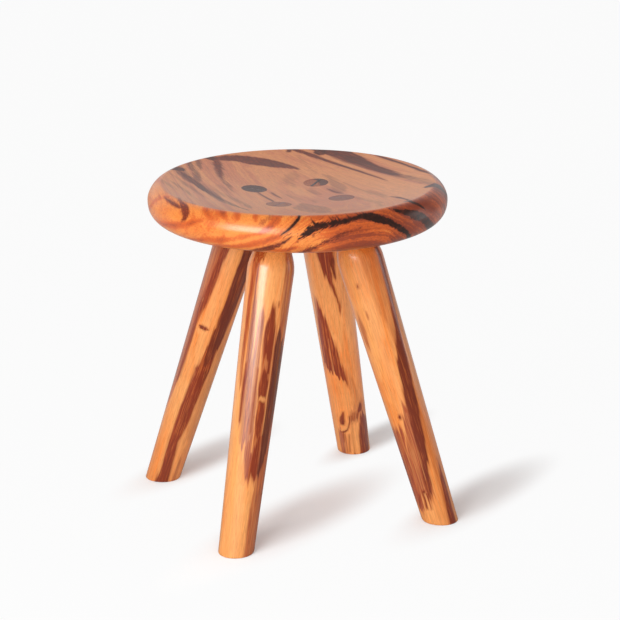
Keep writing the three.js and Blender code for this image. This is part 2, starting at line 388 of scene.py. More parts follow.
def nearest_streak(points, streaks, normals=None):
    """How deep each point lies inside the nearest of the streaks, in the points' unit: half the
    streak's width less the distance to its middle line, negative outside. Also that streak's
    greyness, the distance to its middle line, signed if there are normals, and its half width
    there. A streak is (greyness, rows of x, y, z, width), and its width changes evenly from row
    to row."""
    deepest = np.full(len(points), NO_STREAK)
    greyness, offset, half_width = (np.zeros(len(points)) for _ in range(3))
    for grey, rows in streaks:
        low, high = rows[:, :3].min(0) - FAR, rows[:, :3].max(0) + FAR
        near = np.flatnonzero(((points > low) & (points < high)).all(1))
        close = points[near]
        for start, end in zip(rows[:-1], rows[1:]):
            span = end[:3] - start[:3]
            from_start = close - start[:3]
            share = np.clip(from_start @ span / max(span @ span, 1e-12), 0, 1)
            away = from_start - share[:, None] * span
            distance = np.sqrt((away ** 2).sum(1))
            half = (start[3] + share * (end[3] - start[3])) / 2
            better = half - distance > deepest[near]
            chosen, distance = near[better], distance[better]
            deepest[chosen] = half[better] - distance
            greyness[chosen] = grey
            half_width[chosen] = half[better]
            if normals is not None:
                side = np.einsum("ij,ij->i", np.cross(span, away[better]), normals[chosen])
                offset[chosen] = np.where(side < 0, -distance, distance)
    return deepest, greyness, offset, half_width


def band_depth(along, turn, radius, rows, ragged, slope):
    """How deep a point on a leg lies inside a band, in millimetres. The band's rows are (height
    along the leg, angle of its left edge, angle of its right edge), lowest first, and it ends at
    its first and last row. Sines round the leg shift the heights and leave ragged ends."""
    rows = np.asarray(rows, float)
    along = along + ragged * sum(height * np.sin(waves * np.radians(turn) + phase)
                                 for height, waves, phase in RAGGED_WAVES)
    left, right = (np.interp(along, rows[:, 0], rows[:, k]) for k in (1, 2))
    off = (turn - (left + right) / 2 + 180) % 360 - 180
    across = np.radians((right - left) / 2 - abs(off)) * radius
    ends = np.minimum(along - rows[0, 0], rows[-1, 0] - along) * slope
    return np.minimum(across, ends)


def deepest_band(along, turn, radius, bands, ragged=1.0, slope=END_SLOPE):
    """The depth inside the deepest of the bands, and that band's greyness or strength."""
    depth = np.full(len(along), NO_BAND)
    value = np.zeros(len(along))
    for number, rows in bands:
        inside = band_depth(along, turn, radius, rows, ragged, slope)
        value = np.where(inside > depth, number, value)
        depth = np.maximum(inside, depth)
    return depth, value


# Streaks of the seat, in millimetres. Each has a greyness from 0, red brown, to 1, black or grey,
# or for a soft band or a flame a strength. On the dish and the underside the rows are x, y and
# width.
DISH_DARK = (
    (0.2, ((-66, 158, 1), (-56, 158, 6), (-46, 157, 12), (-34, 157, 17), (-20, 153, 20),
        (-6, 144, 25), (5, 137, 25), (15, 129, 22), (25, 120, 17), (33, 112, 11), (38, 105, 6),
        (42, 99, 1))),
    (0.1, ((-53, 156, 2), (-55, 148, 7), (-57, 138, 8), (-61, 122, 6.5), (-65, 108, 5),
        (-68, 96, 3), (-70, 84, 1))),
    (0.35, ((-118, 112, 1), (-117, 100, 6), (-115, 86, 9), (-113.5, 74, 11), (-112.5, 62, 11),
        (-112, 48, 10), (-111, 34, 9), (-109.5, 20, 7), (-108, 6, 5), (-107, -8, 3),
        (-106, -24, 1))),
    (0.4, ((80, 156, 6), (88, 150, 12), (97, 142, 18), (105, 132, 23), (111, 121, 25),
        (114, 110, 25), (118, 98, 24), (122, 86, 20), (125, 74, 17), (127, 62, 15), (129, 50, 15),
        (132, 38, 15), (135, 26, 13), (138, 14, 9), (140, 4, 4), (142, -6, 0))),
    (0.2, ((59, 163, 6), (66, 152, 8), (72, 141, 8), (78, 129, 7), (83, 117, 6), (88, 106, 5),
        (92, 96, 5))),
)
DISH_LINES = (
    (0.25, ((92, 96, 5), (96, 85, 4.5), (100, 75, 4), (104, 64, 4), (108, 52, 4), (111, 40, 3.5),
        (114, 28, 3), (117, 15, 2.5), (119, 2, 1.5), (120, -6, 0))),
    (0.6, ((148, 89, 2), (152, 75, 3.5), (156, 62, 4), (160, 48, 3.5), (163, 34, 3), (165, 20, 3),
        (167, 6, 4), (168, -8, 4.5), (170, -20, 4), (171, -34, 3))),
    (0.45, ((-44, 25, 2), (-44, 12, 2.6), (-43, -4, 3), (-42, -18, 2.4), (-44, -30, 1))),
    (0.25, ((-27, 20, 2), (-27, 8, 2.5), (-26, -8, 1))),
    (0.55, ((90, -88, 1), (92.5, -98, 3), (93, -108, 4.5), (93, -120, 3), (92, -132, 3),
        (90, -142, 4), (88, -151, 5))),
    (0.2, ((46, 8, 2), (47, -2, 4), (49, -12, 4.5), (52, -20, 2))),
)
DISH_SOFT = (
    (0.9, ((131, 40, 12), (134, 28, 14), (138, 14, 14), (140, 2, 13), (142, -10, 9),
        (143, -20, 0))),
    (0.76, ((140, 2, 8), (143, -10, 12), (147, -22, 10), (150, -34, 0))),
    (0.62, ((143, -10, 4), (146, -22, 12), (148, -36, 10), (149, -48, 0))),
    (0.48, ((146, -22, 4), (149, -36, 13), (151, -50, 14), (151, -64, 12), (150, -76, 9),
        (148, -88, 6))),
    (0.72, ((-52, 166, 8), (-54, 152, 12), (-57, 138, 14), (-61, 122, 13), (-66, 105, 11),
        (-69, 92, 8), (-70, 80, 6), (-71, 68, 6), (-72, 57, 5), (-74, 44, 3), (-76, 28, 0))),
    (0.8, ((-79, 157, 6), (-81, 146, 8), (-84, 136, 8), (-86, 128, 4), (-88, 118, 0))),
    (0.8, ((-92, 150, 4), (-95, 138, 8), (-97, 125, 9), (-98, 112, 9), (-101, 98, 10),
        (-104, 86, 10), (-107, 74, 8))),
    (0.78, ((-119, 124, 6), (-118, 110, 12), (-117, 96, 16), (-114, 80, 19), (-111, 64, 17),
        (-109, 48, 15), (-108, 32, 14), (-108, 16, 12), (-108, 0, 11), (-108, -15, 10),
        (-107, -30, 9), (-105, -45, 8), (-102, -60, 6), (-99, -78, 4), (-97, -92, 1))),
    (0.5, ((-134, 96, 2), (-132, 80, 6), (-129, 62, 8), (-127, 42, 7), (-126, 20, 5),
        (-126, 0, 2))),
    (0.5, ((-146, 70, 1), (-143, 52, 6), (-141, 32, 7), (-141, 12, 5), (-141, -8, 3),
        (-139, -30, 1))),
    (0.35, ((-98, 60, 2), (-96, 40, 6), (-95, 18, 7), (-94, -4, 4), (-93, -24, 1))),
    (0.7, ((92, 142, 8), (97, 128, 10), (103, 113, 10), (108, 99, 9), (112, 86, 8), (116, 74, 7),
        (119, 62, 5), (121, 50, 2))),
    (0.45, ((64, 68, 3), (66, 57, 8), (66, 45, 10), (64, 32, 14), (62, 20, 18), (60, 8, 20),
        (56, -4, 16), (53, -12, 10), (51, -22, 3))),
    (0.4, ((73, 24, 2), (75, 8, 4), (77, -8, 5), (79, -22, 6), (82, -36, 8), (84, -50, 10),
        (86, -64, 8), (85, -78, 6), (84, -94, 1))),
    (0.4, ((57, -50, 2), (60, -64, 6), (62, -78, 6), (63, -92, 7), (63, -106, 9), (60, -120, 9),
        (56, -132, 8), (53, -146, 4))),
    (0.5, ((-13, -48, 6), (-15, -60, 20), (-17, -75, 34), (-17, -90, 40), (-17, -105, 36),
        (-18, -120, 28), (-20, -136, 12))),
    (0.5, ((-11, 6, 2), (-9, -8, 7), (-8, -22, 6), (-9, -34, 2))),
    (0.4, ((3, -28, 2), (6, -40, 7), (4, -52, 2))),
    (0.5, ((-84, 62, 2), (-84, 46, 4), (-84, 32, 3), (-83, 16, 1))),
    (0.5, ((-92, 26, 2), (-90, 5, 5), (-88, -12, 8), (-86, -30, 9), (-86, -48, 8), (-88, -64, 3))),
    (0.4, ((-158, 72, 3), (-157, 60, 9), (-155, 48, 8), (-153, 36, 6), (-152, 22, 1))),
    (0.4, ((27, 24, 4), (23, 14, 10), (24, 2, 9), (27, -10, 3))),
    (0.28, ((33, 92, 4), (24, 78, 20), (14, 64, 14), (11, 50, 10), (12, 38, 3))),
    (0.3, ((58, 140, 1), (57, 120, 2), (56, 100, 2.5), (56, 82, 2), (57, 70, 1))),
    (0.4, ((-168, -22, 6), (-167, -40, 8), (-161, -58, 5))),
    (0.4, ((-114, 128, 12), (-111, 112, 10), (-109, 98, 8))),
)
# On the rounded side the rows are azimuth in degrees, distance down from the rim and width.
SIDE_DARK = (
    (0.02, ((-172, -5, 1), (-169, 0, 3), (-166, 3.5, 5), (-163, 7.5, 7.5), (-160.6, 12, 9.5),
        (-159, 16.5, 10), (-158.8, 21, 8), (-159.4, 25, 4), (-160.2, 28, 0))),
    (0.25, ((-117, 37, 2), (-119.5, 42, 5), (-122.5, 47, 8), (-125.5, 52, 9), (-128.5, 57, 9),
        (-131, 62, 7), (-134, 69, 4))),
    (1.0, ((-112, 35, 0), (-110.5, 30, 4), (-108.5, 25, 8), (-106, 20.5, 10), (-103.5, 17, 9),
        (-100, 14.5, 7), (-97, 14, 7), (-94, 13, 7), (-91, 11.5, 6), (-88, 9.5, 7), (-85.5, 9, 9),
        (-83, 11, 12), (-80.5, 14.5, 12), (-78.5, 17.5, 11), (-76.5, 20.5, 9.5), (-74.5, 24.5, 8),
        (-72.5, 29, 7), (-70.5, 33.5, 8), (-69, 37, 8), (-67.5, 40.5, 7), (-66, 44.5, 6),
        (-64.5, 49, 6), (-63, 54, 5), (-61, 61, 3), (-59, 70, 1))),
    (0.9, ((-73, 4, 1), (-71, 8, 4), (-69, 11.5, 6), (-66.5, 15, 9), (-63.5, 19, 12),
        (-60.5, 23.5, 13), (-58, 28, 12), (-56, 33, 11), (-54, 38, 11), (-51.5, 43, 12),
        (-49, 48, 12), (-46, 54, 10), (-43, 60, 7), (-39, 68, 3))),
    (0.15, ((-110, 58, 8), (-109, 54, 7), (-107.5, 49, 7), (-105.5, 44.5, 4), (-103, 40, 2.5),
        (-100.5, 36, 3), (-98.5, 33, 4.5), (-96, 30, 4.5), (-93.5, 27.5, 4), (-91, 25, 2),
        (-88, 23.5, 0))),
    (0.75, ((-31.5, -6, 11), (-30, 2, 17), (-28.5, 10, 17), (-27, 18, 11), (-25, 27, 5),
        (-23, 34, 1))),
    (0.45, ((-38.5, 25, 1), (-37, 31, 5), (-35, 37, 4), (-33.5, 43, 0))),
)
SIDE_LINES = (
    (0.95, ((-111.4, -3, 2.4), (-111.4, 4, 3.4), (-111.9, 8, 4), (-112.8, 12, 4), (-114, 17, 3.6),
        (-115.6, 22, 3), (-118, 28, 1.2))),
    (0.7, ((-114.5, 31, 1), (-117, 37, 2.5), (-119, 41, 3.5))),
    (0.95, ((-60.4, -4, 4), (-59.6, 2, 5.5), (-58.6, 6, 6), (-57.4, 10, 5.5), (-56.3, 14, 4),
        (-55.4, 18, 2), (-54.8, 23, 0))),
    (0.8, ((-99.5, 7, 1), (-98.8, 12, 3))),
    (0.8, ((-96.5, 6, 1), (-96, 12, 3))),
    (0.8, ((-92.4, 4, 1), (-92, 10, 3.4))),
    (0.9, ((-88.4, 3, 1), (-87.6, 8, 3))),
    (0.9, ((-85.4, 2, 1), (-85.4, 7, 4))),
    (0.8, ((-106.6, 9, 1), (-105.6, 15, 3))),
    (0.25, ((-178, 8.2, 0.6), (-173.5, 8.8, 2.0), (-170, 9.8, 3.8), (-166.5, 10.9, 3.6),
        (-163.5, 11.9, 1.4))),
)
SIDE_SOFT = (
    (0.7, ((-123, -3, 3), (-122.7, 4, 5), (-123.4, 9, 3))),
    (0.7, ((-124.6, 11, 3), (-125.2, 15, 6), (-126, 19, 2))),
    (0.5, ((-119, -2, 3), (-119, 3, 4), (-119.4, 7, 1))),
    (0.5, ((-182, 6, 2), (-184, 12, 4), (-185, 18, 1))),
    (0.9, ((-178, 8, 1), (-174, 8.5, 4), (-170, 9.5, 6), (-166, 10.5, 5), (-163, 11.5, 2))),
)
# Deeper orange flames of the side
SIDE_FLAMES = (
    (0.5, ((-152, -3, 8), (-151, 4, 9), (-149, 10, 6), (-146, 16, 2))),
    (0.55, ((-143.5, -3, 6), (-142.5, 4, 8), (-140.5, 11, 4), (-139, 18, 1))),
    (0.45, ((-136.5, -3, 7), (-136, 5, 8), (-135, 12, 3))),
    (0.6, ((-129, -3, 5), (-128.5, 5, 6), (-128, 12, 2))),
    (0.6, ((-121, -3, 10), (-120, 8, 12), (-122, 18, 8), (-126, 28, 3))),
    (0.5, ((-150, 20, 2), (-158, 30, 7), (-168, 38, 7), (-180, 44, 2))),
    (0.45, ((-127, 28, 3), (-135, 36, 7), (-146, 44, 8), (-158, 52, 3))),
    (0.5, ((-119, 30, 4), (-127, 40, 8), (-137, 50, 8), (-150, 58, 3))),
    (0.55, ((-112, 44, 4), (-118, 52, 8), (-128, 60, 8), (-138, 64, 3))),
    (0.35, ((-176, 4, 3), (-182, 14, 8), (-186, 26, 6), (-190, 36, 2))),
)
# The far side and the underside, which the photograph doesn't show
BACK_DARK = (
    (0.45, ((110, -6, 12), (112, 10, 15), (114, 28, 17), (117, 48, 14), (119, 66, 8),
        (121, 80, 3))),
    (0.55, ((57, -6, 20), (54, 8, 22), (51, 22, 18), (49, 38, 14), (48, 56, 10), (48, 72, 5))),
    (0.4, ((72, -6, 6), (71, 8, 7), (72, 22, 5), (75, 38, 3), (79, 52, 0))),
    (0.6, ((134, -6, 14), (137, 8, 13), (141, 22, 10), (146, 36, 8), (153, 48, 5), (160, 58, 1))),
    (0.5, ((18, 20, 1), (14, 28, 7), (9, 34, 10), (2, 38, 8), (-6, 40, 3), (-11, 41, 0))),
    (0.45, ((86, 30, 1), (89, 42, 7), (92, 56, 9), (94, 70, 6), (95, 80, 2))),
)
UNDERSIDE_DARK = (
    (0.55, ((-70, 138, 10), (-84, 100, 16), (-92, 60, 18), (-96, 20, 14), (-95, -22, 10),
        (-88, -60, 6), (-80, -92, 1))),
    (0.45, ((88, 128, 8), (76, 90, 12), (70, 52, 10), (69, 14, 12), (73, -26, 16), (82, -62, 14),
        (96, -96, 8), (108, -112, 3))),
    (0.4, ((10, 150, 12), (14, 116, 8), (12, 80, 4), (6, 44, 1))),
    (0.5, ((-18, -60, 1), (-12, -88, 7), (-4, -114, 12), (6, -136, 14), (14, -152, 12))),
    (0.45, ((124, 70, 2), (118, 36, 6), (119, 0, 7), (126, -34, 4), (134, -60, 0))),
)


def seat_streak_paths(sizes, side=(), dish=(), underside=()):
    """Carries the rows of the streaks onto the seat's surface as x, y, z and width in
    millimetres: the dish's height over x and y, or the side's profile turned to the azimuth. A
    row above the rim lies on the dish, that much nearer to the stool's axis."""
    radii, heights, even = side_profile(sizes, STREAK_CELLS)
    placed = []
    for grey, rows in side:
        azimuth, down, width = smooth_path(rows).T
        down = down * MM
        radius = np.interp(down, even, radii) + np.minimum(down, 0)
        height = np.where(down < 0, dish_height(sizes, radius), np.interp(down, even, heights))
        path = polar(radius, np.radians(azimuth), height) / MM
        placed.append((grey, np.insert(path, 3, width, axis=1)))
    for grey, rows in dish:
        path = smooth_path(rows)
        height = dish_height(sizes, np.hypot(path[:, 0], path[:, 1]) * MM) / MM
        placed.append((grey, np.insert(path, 2, height, axis=1)))
    floor = (sizes.seat_height - sizes.seat_thickness) / MM
    for grey, rows in underside:
        placed.append((grey, np.insert(smooth_path(rows), 2, floor, axis=1)))
    return placed


def across_grain(x, y):
    """Distance across the seat's grain in millimetres: x, bent so that its level lines run from
    back to front in the slow curves of the streaks."""
    return x + 0.05 * y + 0.0015 * x * y + 0.0006 * y * y


# The seat's wood, in millimetres and, for what lies round its side, in degrees
FLECK_LEAN = math.radians(42)    # from level, of the flecks in the front of the side
FLECKS_BEGIN, FLECKS_FADE = (-122, -112), (-100, -92)   # from the left to the right
FLECKS_RIGHT = 0.25              # how strong they still are to the right of that
PITH_ACROSS, PITH_HEIGHT = 14.0, 350.0    # the middle of the growth rings
SIDE_BEGINS = (168, 178)         # radii between which the dish's wood turns into the side's
WEAR_AND_SHEEN_ENDS = (171.5, 174.5)       # radii between which the dish's wear and painted sheen end
FLECKS_RADIUS = (171, 176)       # radii between which the flecks begin
DISH_BOTTOM = 405                # the whole dish lies higher than this, the underside lower
FLAME_EDGE = 3                   # a flame fades in from this far outside its edge to as far inside
DISH_FIGURE, SIDE_FIGURE = 0.75, 1.0      # how strongly the growth rings show
PLAIN_SIDE, PLAIN_PART = 0.75, (108, 130)     # how much less on the left of the side, and where


def paint_seat(sizes, mesh):
    """Writes the streaks, the grain and the growth rings on the seat's vertices."""
    points = vector_array(mesh.vertices, "co") / MM
    x, y, z = points.T
    radius, azimuth = np.hypot(x, y), np.degrees(np.arctan2(y, x))
    outside = blend_steps(radius, *SIDE_BEGINS)

    dark = seat_streak_paths(sizes, SIDE_DARK + BACK_DARK, DISH_DARK, UNDERSIDE_DARK)
    depth, grey, _, _ = nearest_streak(points, dark)
    lines = seat_streak_paths(sizes, SIDE_LINES, DISH_LINES)
    normals = vector_array(mesh.vertex_normals, "vector")
    line_depth, line_grey, offset, half = nearest_streak(points, lines, normals)
    beside = (abs(offset) < LINE_REACH) & (line_depth > -FAR)
    half = np.where(beside, np.maximum(half, abs(offset) - LINE_CLEAR), -LINE_CLEAR)
    set_number(mesh, "dark", depth)
    set_vector(mesh, "line", np.where(beside, offset, 0.0), half, 0.0)
    set_number(mesh, "grey", np.where(line_depth > depth, line_grey, grey))
    soft = seat_streak_paths(sizes, SIDE_SOFT, DISH_SOFT)
    depth, strength, _, _ = nearest_streak(points, soft)
    depth *= 0.3 + 0.7 * strength        # the fainter, the softer its edge
    set_vector(mesh, "soft", depth, strength, 1 - outside)
    # The dish: where its varnish is worn, and where its pale tan, partly painted sheen, is laid
    set_number(mesh, "worn_and_sheen", np.where(z > DISH_BOTTOM, 1 - blend_steps(radius, *WEAR_AND_SHEEN_ENDS), 0.0))

    across = across_grain(x, y)
    along = -y + 0.2 * x
    ring = np.hypot(across - PITH_ACROSS, z - PITH_HEIGHT)
    set_vector(mesh, "grain", across * MM, along * MM, z * MM)
    set_number(mesh, "ring", ring * MM)
    sine, cosine = math.sin(FLECK_LEAN), math.cos(FLECK_LEAN)
    set_vector(mesh, "fleck", (across * cosine + z * sine) * MM,
               (z * cosine - across * sine) * MM, along * MM)
    weight = blend_steps(azimuth, *FLECKS_BEGIN)
    weight *= 1 - (1 - FLECKS_RIGHT) * blend_steps(azimuth, *FLECKS_FADE)
    set_number(mesh, "fleck_weight", weight * blend_steps(radius, *FLECKS_RADIUS))

    # The side is redder on its right, with a bright ring round the heart at its front
    right = blend_steps(azimuth, -118, -92) * (1 - blend_steps(azimuth, 20, 60))
    heart = (1 - blend_steps(ring, 56, 64)) * blend_steps(-y, 120, 170)
    bright = blend_steps(ring, 58, 63) * (1 - blend_steps(ring, 68, 74)) * right
    bright *= blend_steps(-y, 60, 120)
    side_red = np.clip(0.12 + 0.72 * right + 0.06 * heart - 0.26 * bright, 0, 1)
    flame, flame_red, _, _ = nearest_streak(points, seat_streak_paths(sizes, SIDE_FLAMES))
    side_red += flame_red * blend_steps(flame, -FLAME_EDGE, FLAME_EDGE)
    # The dish is mottled, and less red on its right
    dish_red = 0.23 + 0.10 * np.sin(x / 31 + 0.6) * np.cos(y / 47 + 1.1)
    dish_red -= 0.16 * blend_steps(x, 30, 110)
    set_number(mesh, "red", dish_red + (side_red - dish_red) * outside)
    plain = PLAIN_SIDE * blend_steps(-azimuth, *PLAIN_PART)
    set_number(mesh, "figure", DISH_FIGURE + outside * (SIDE_FIGURE - DISH_FIGURE - plain))


def build_seat(sizes, material):
    """The dish and the flat underside are four quarter discs each, ruled from the mouth of a
    mortise out to the quarter's outline. The side is the profile turned round the axis, and each
    mortise is a ruled tube between its two mouths."""
    surfaces = Surfaces()
    rim = sizes.seat_radius - sizes.rim_inset
    base = sizes.seat_radius - sizes.underside_inset
    floor = sizes.seat_height - sizes.seat_thickness
    bore = sizes.tenon_radius + sizes.glue_line
    for _, azimuth in CORNERS:
        leg = LegFrame(sizes, azimuth)
        outline = quadrant_outline(rim, azimuth)
        middle = leg.world(0.0, 0.0, leg.dish)[:2]
        turn = np.arctan2(*(outline - middle).T[::-1]) - math.radians(azimuth)
        x, y = bore * np.cos(turn), bore * np.sin(turn)
        top = leg.world(x, y, leg.along_to_dish(x, y))
        bottom = leg.world(x, y, leg.along_to_height(x, floor))
        plan = ruled(top[:, :2], outline, DISH_CELLS)
        height = dish_height(sizes, np.hypot(plan[..., 0], plan[..., 1]))
        dish = np.insert(plan, 2, height, axis=2)
        surfaces.add(dish, wrap=True, flip=True)
        plan = ruled(bottom[:, :2], quadrant_outline(base, azimuth), BASE_CELLS)
        surfaces.add(np.insert(plan, 2, floor, axis=2), wrap=True)
        tube = ruled(bottom, top, MORTISE_CELLS)
        tube[0], tube[-1] = bottom, dish[0]
        surfaces.add(tube, wrap=True, flip=True)
    radii, heights, _ = side_profile(sizes, SIDE_CELLS)
    turn = np.concatenate([quarter_turn(azimuth) for _, azimuth in CORNERS])
    surfaces.add(polar(radii[:, None], turn, heights[:, None]), wrap=True, flip=True)
    seat = make_object("seat_wood", surfaces, material, "seat_wood", "seat")
    crease_rim(sizes, seat.data)
    paint_seat(sizes, seat.data)


def crease_rim(sizes, mesh):
    """Marks the ring of edges between the dish and the side as sharp."""
    x, y, z = vector_array(mesh.vertices, "co").T
    rim = sizes.seat_radius - sizes.rim_inset
    on_rim = (abs(np.hypot(x, y) - rim) < SAME_PLACE) & (abs(z - sizes.seat_height) < SAME_PLACE)
    ends = np.empty(len(mesh.edges) * 2, np.int32)
    mesh.edges.foreach_get("vertices", ends)
    sharp = np.empty(len(mesh.edges), bool)
    flags = (mesh.attributes.get("sharp_edge")
             or mesh.attributes.new("sharp_edge", "BOOLEAN", "EDGE"))
    flags.data.foreach_get("value", sharp)
    flags.data.foreach_set("value", sharp | on_rim[ends.reshape(-1, 2)].all(1))


# Bands of the legs: rows of (height along the leg, left edge, right edge) in millimetres and in
# degrees from the direction of the splay, lowest first. Each dark band has a greyness.
LEG_DARK = {
    "front_left": (
        (0.25, ((240, 31, 52), (250, 29, 54), (256, 28, 55), (264, 27, 56), (275, 27, 56),
            (284, 29, 54), (292, 33, 51), (306, 37, 47))),
        (0.28, ((190, 33, 51), (201, 29, 54), (208, 28, 55), (215, 29, 55), (220, 31, 53),
            (228, 36, 48))),
        (0.22, ((142, 38, 48), (156, 35, 51), (162, 33, 52), (170, 31, 54), (178, 31, 55),
            (184, 33, 54), (194, 38, 49))),
        (0.15, ((92, 38, 50), (100, 32, 57), (112, 34, 57), (122, 37, 57), (132, 40, 56),
            (144, 43, 55), (152, 45, 52))),
        (0.75, ((98, 58, 68), (106, 57, 73), (118, 57, 77), (128, 57, 79), (133, 56, 85),
            (150, 56, 87), (160, 57, 89), (180, 58, 100), (200, 60, 108), (220, 62, 110),
            (240, 59, 108), (252, 59, 104), (262, 60, 96), (270, 62, 84), (278, 64, 72))),
        (0.5, ((20, 168, 196), (80, 160, 200), (150, 158, 195), (230, 162, 190), (300, 170, 188),
            (345, 176, 182))),
    ),
    "front_right": (
        (0.45, ((32, -76, -72), (45, -78, -66), (55, -80, -60), (65, -78, -57), (75, -74, -55),
            (85, -71, -49), (95, -70, -43), (105, -69, -39), (120, -67, -36), (135, -66, -33),
            (150, -64, -30), (165, -63, -27), (180, -60, -24), (195, -56, -21), (210, -52, -18),
            (222, -48, -16), (231, -42, -15), (245, -36, -13), (260, -31, -12), (275, -26, -10),
            (290, -22, -8), (310, -18, -4), (330, -17, -2), (350, -15, 0), (366, -14, -2),
            (384, -12, -4))),
        (0.22, ((-20, -40, -8), (0, -37, -8), (10, -35, -8), (20, -31, -7), (32, -28, -6),
            (44, -25, -5), (56, -21, -5), (66, -16, -6), (76, -11, -6))),
        (0.45, ((40, 60, 70), (100, 52, 76), (180, 50, 72), (260, 56, 74), (330, 62, 70))),
    ),
    "back_left": (
        (0.15, ((-20, 86, 133), (0, 87, 133), (10, 90, 130), (20, 96, 128), (30, 95, 126),
            (40, 93, 125), (50, 91, 124), (60, 92, 123), (70, 92, 122), (78, 93, 124),
            (84, 94, 128), (92, 94, 131), (100, 95, 134), (110, 96, 137), (125, 97, 138),
            (140, 100, 140), (155, 103, 142), (170, 104, 143), (182, 103, 146), (188, 108, 147),
            (200, 113, 148), (212, 117, 150))),
        (0.6, ((160, 104, 142), (182, 108, 146), (200, 113, 148), (207, 117, 149), (215, 119, 154),
            (230, 119, 158), (242, 121, 160), (247, 125, 161), (260, 124, 163), (280, 127, 166),
            (300, 128, 168), (320, 128, 170), (340, 130, 168), (362, 132, 166), (384, 134, 164))),
        (0.15, ((150, 52, 58), (198, 54, 63), (220, 54, 65), (240, 53, 67), (255, 54, 71),
            (265, 56, 77), (280, 60, 82), (300, 66, 86), (320, 70, 88), (340, 73, 90),
            (352, 76, 93), (366, 80, 98), (384, 84, 100))),
        (0.45, ((60, -44, -30), (120, -52, -26), (200, -50, -22), (280, -42, -20),
            (350, -36, -22))),
    ),
    "back_right": (
        (0.15, ((256, -139, -136), (264, -141, -137), (272, -144, -140), (284, -149, -144.5),
            (300, -158, -149), (312, -165, -148), (322, -170, -149.5), (330, -173, -145),
            (335, -175, -137), (348, -181, -136), (366, -187, -136), (384, -190, -138))),
        (0.5, ((309, -140, -137), (314, -141.5, -136), (322, -145, -135.5), (330, -150, -135.5),
            (345, -155, -136))),
        (0.15, ((130, -148, -146), (140, -160, -147), (147, -182, -148), (153, -204, -150),
            (160, -218, -154), (170, -218, -159), (180, -218, -161.5), (195, -217, -166),
            (208, -216, -169.5), (213, -215, -174), (222, -214, -178), (236, -212, -183),
            (250, -208, -191), (258, -205, -196), (266, -202, -199))),
        (0.3, ((-20, -133, -88), (0, -132, -88), (10, -129, -84), (22, -130, -80), (34, -129, -78),
            (44, -126, -76), (54, -121, -78), (62, -118, -84), (67, -117, -96), (72, -112, -104))),
        (0.45, ((20, 20, 34), (90, 12, 38), (170, 10, 32), (250, 16, 30), (320, 20, 26))),
    ),
}
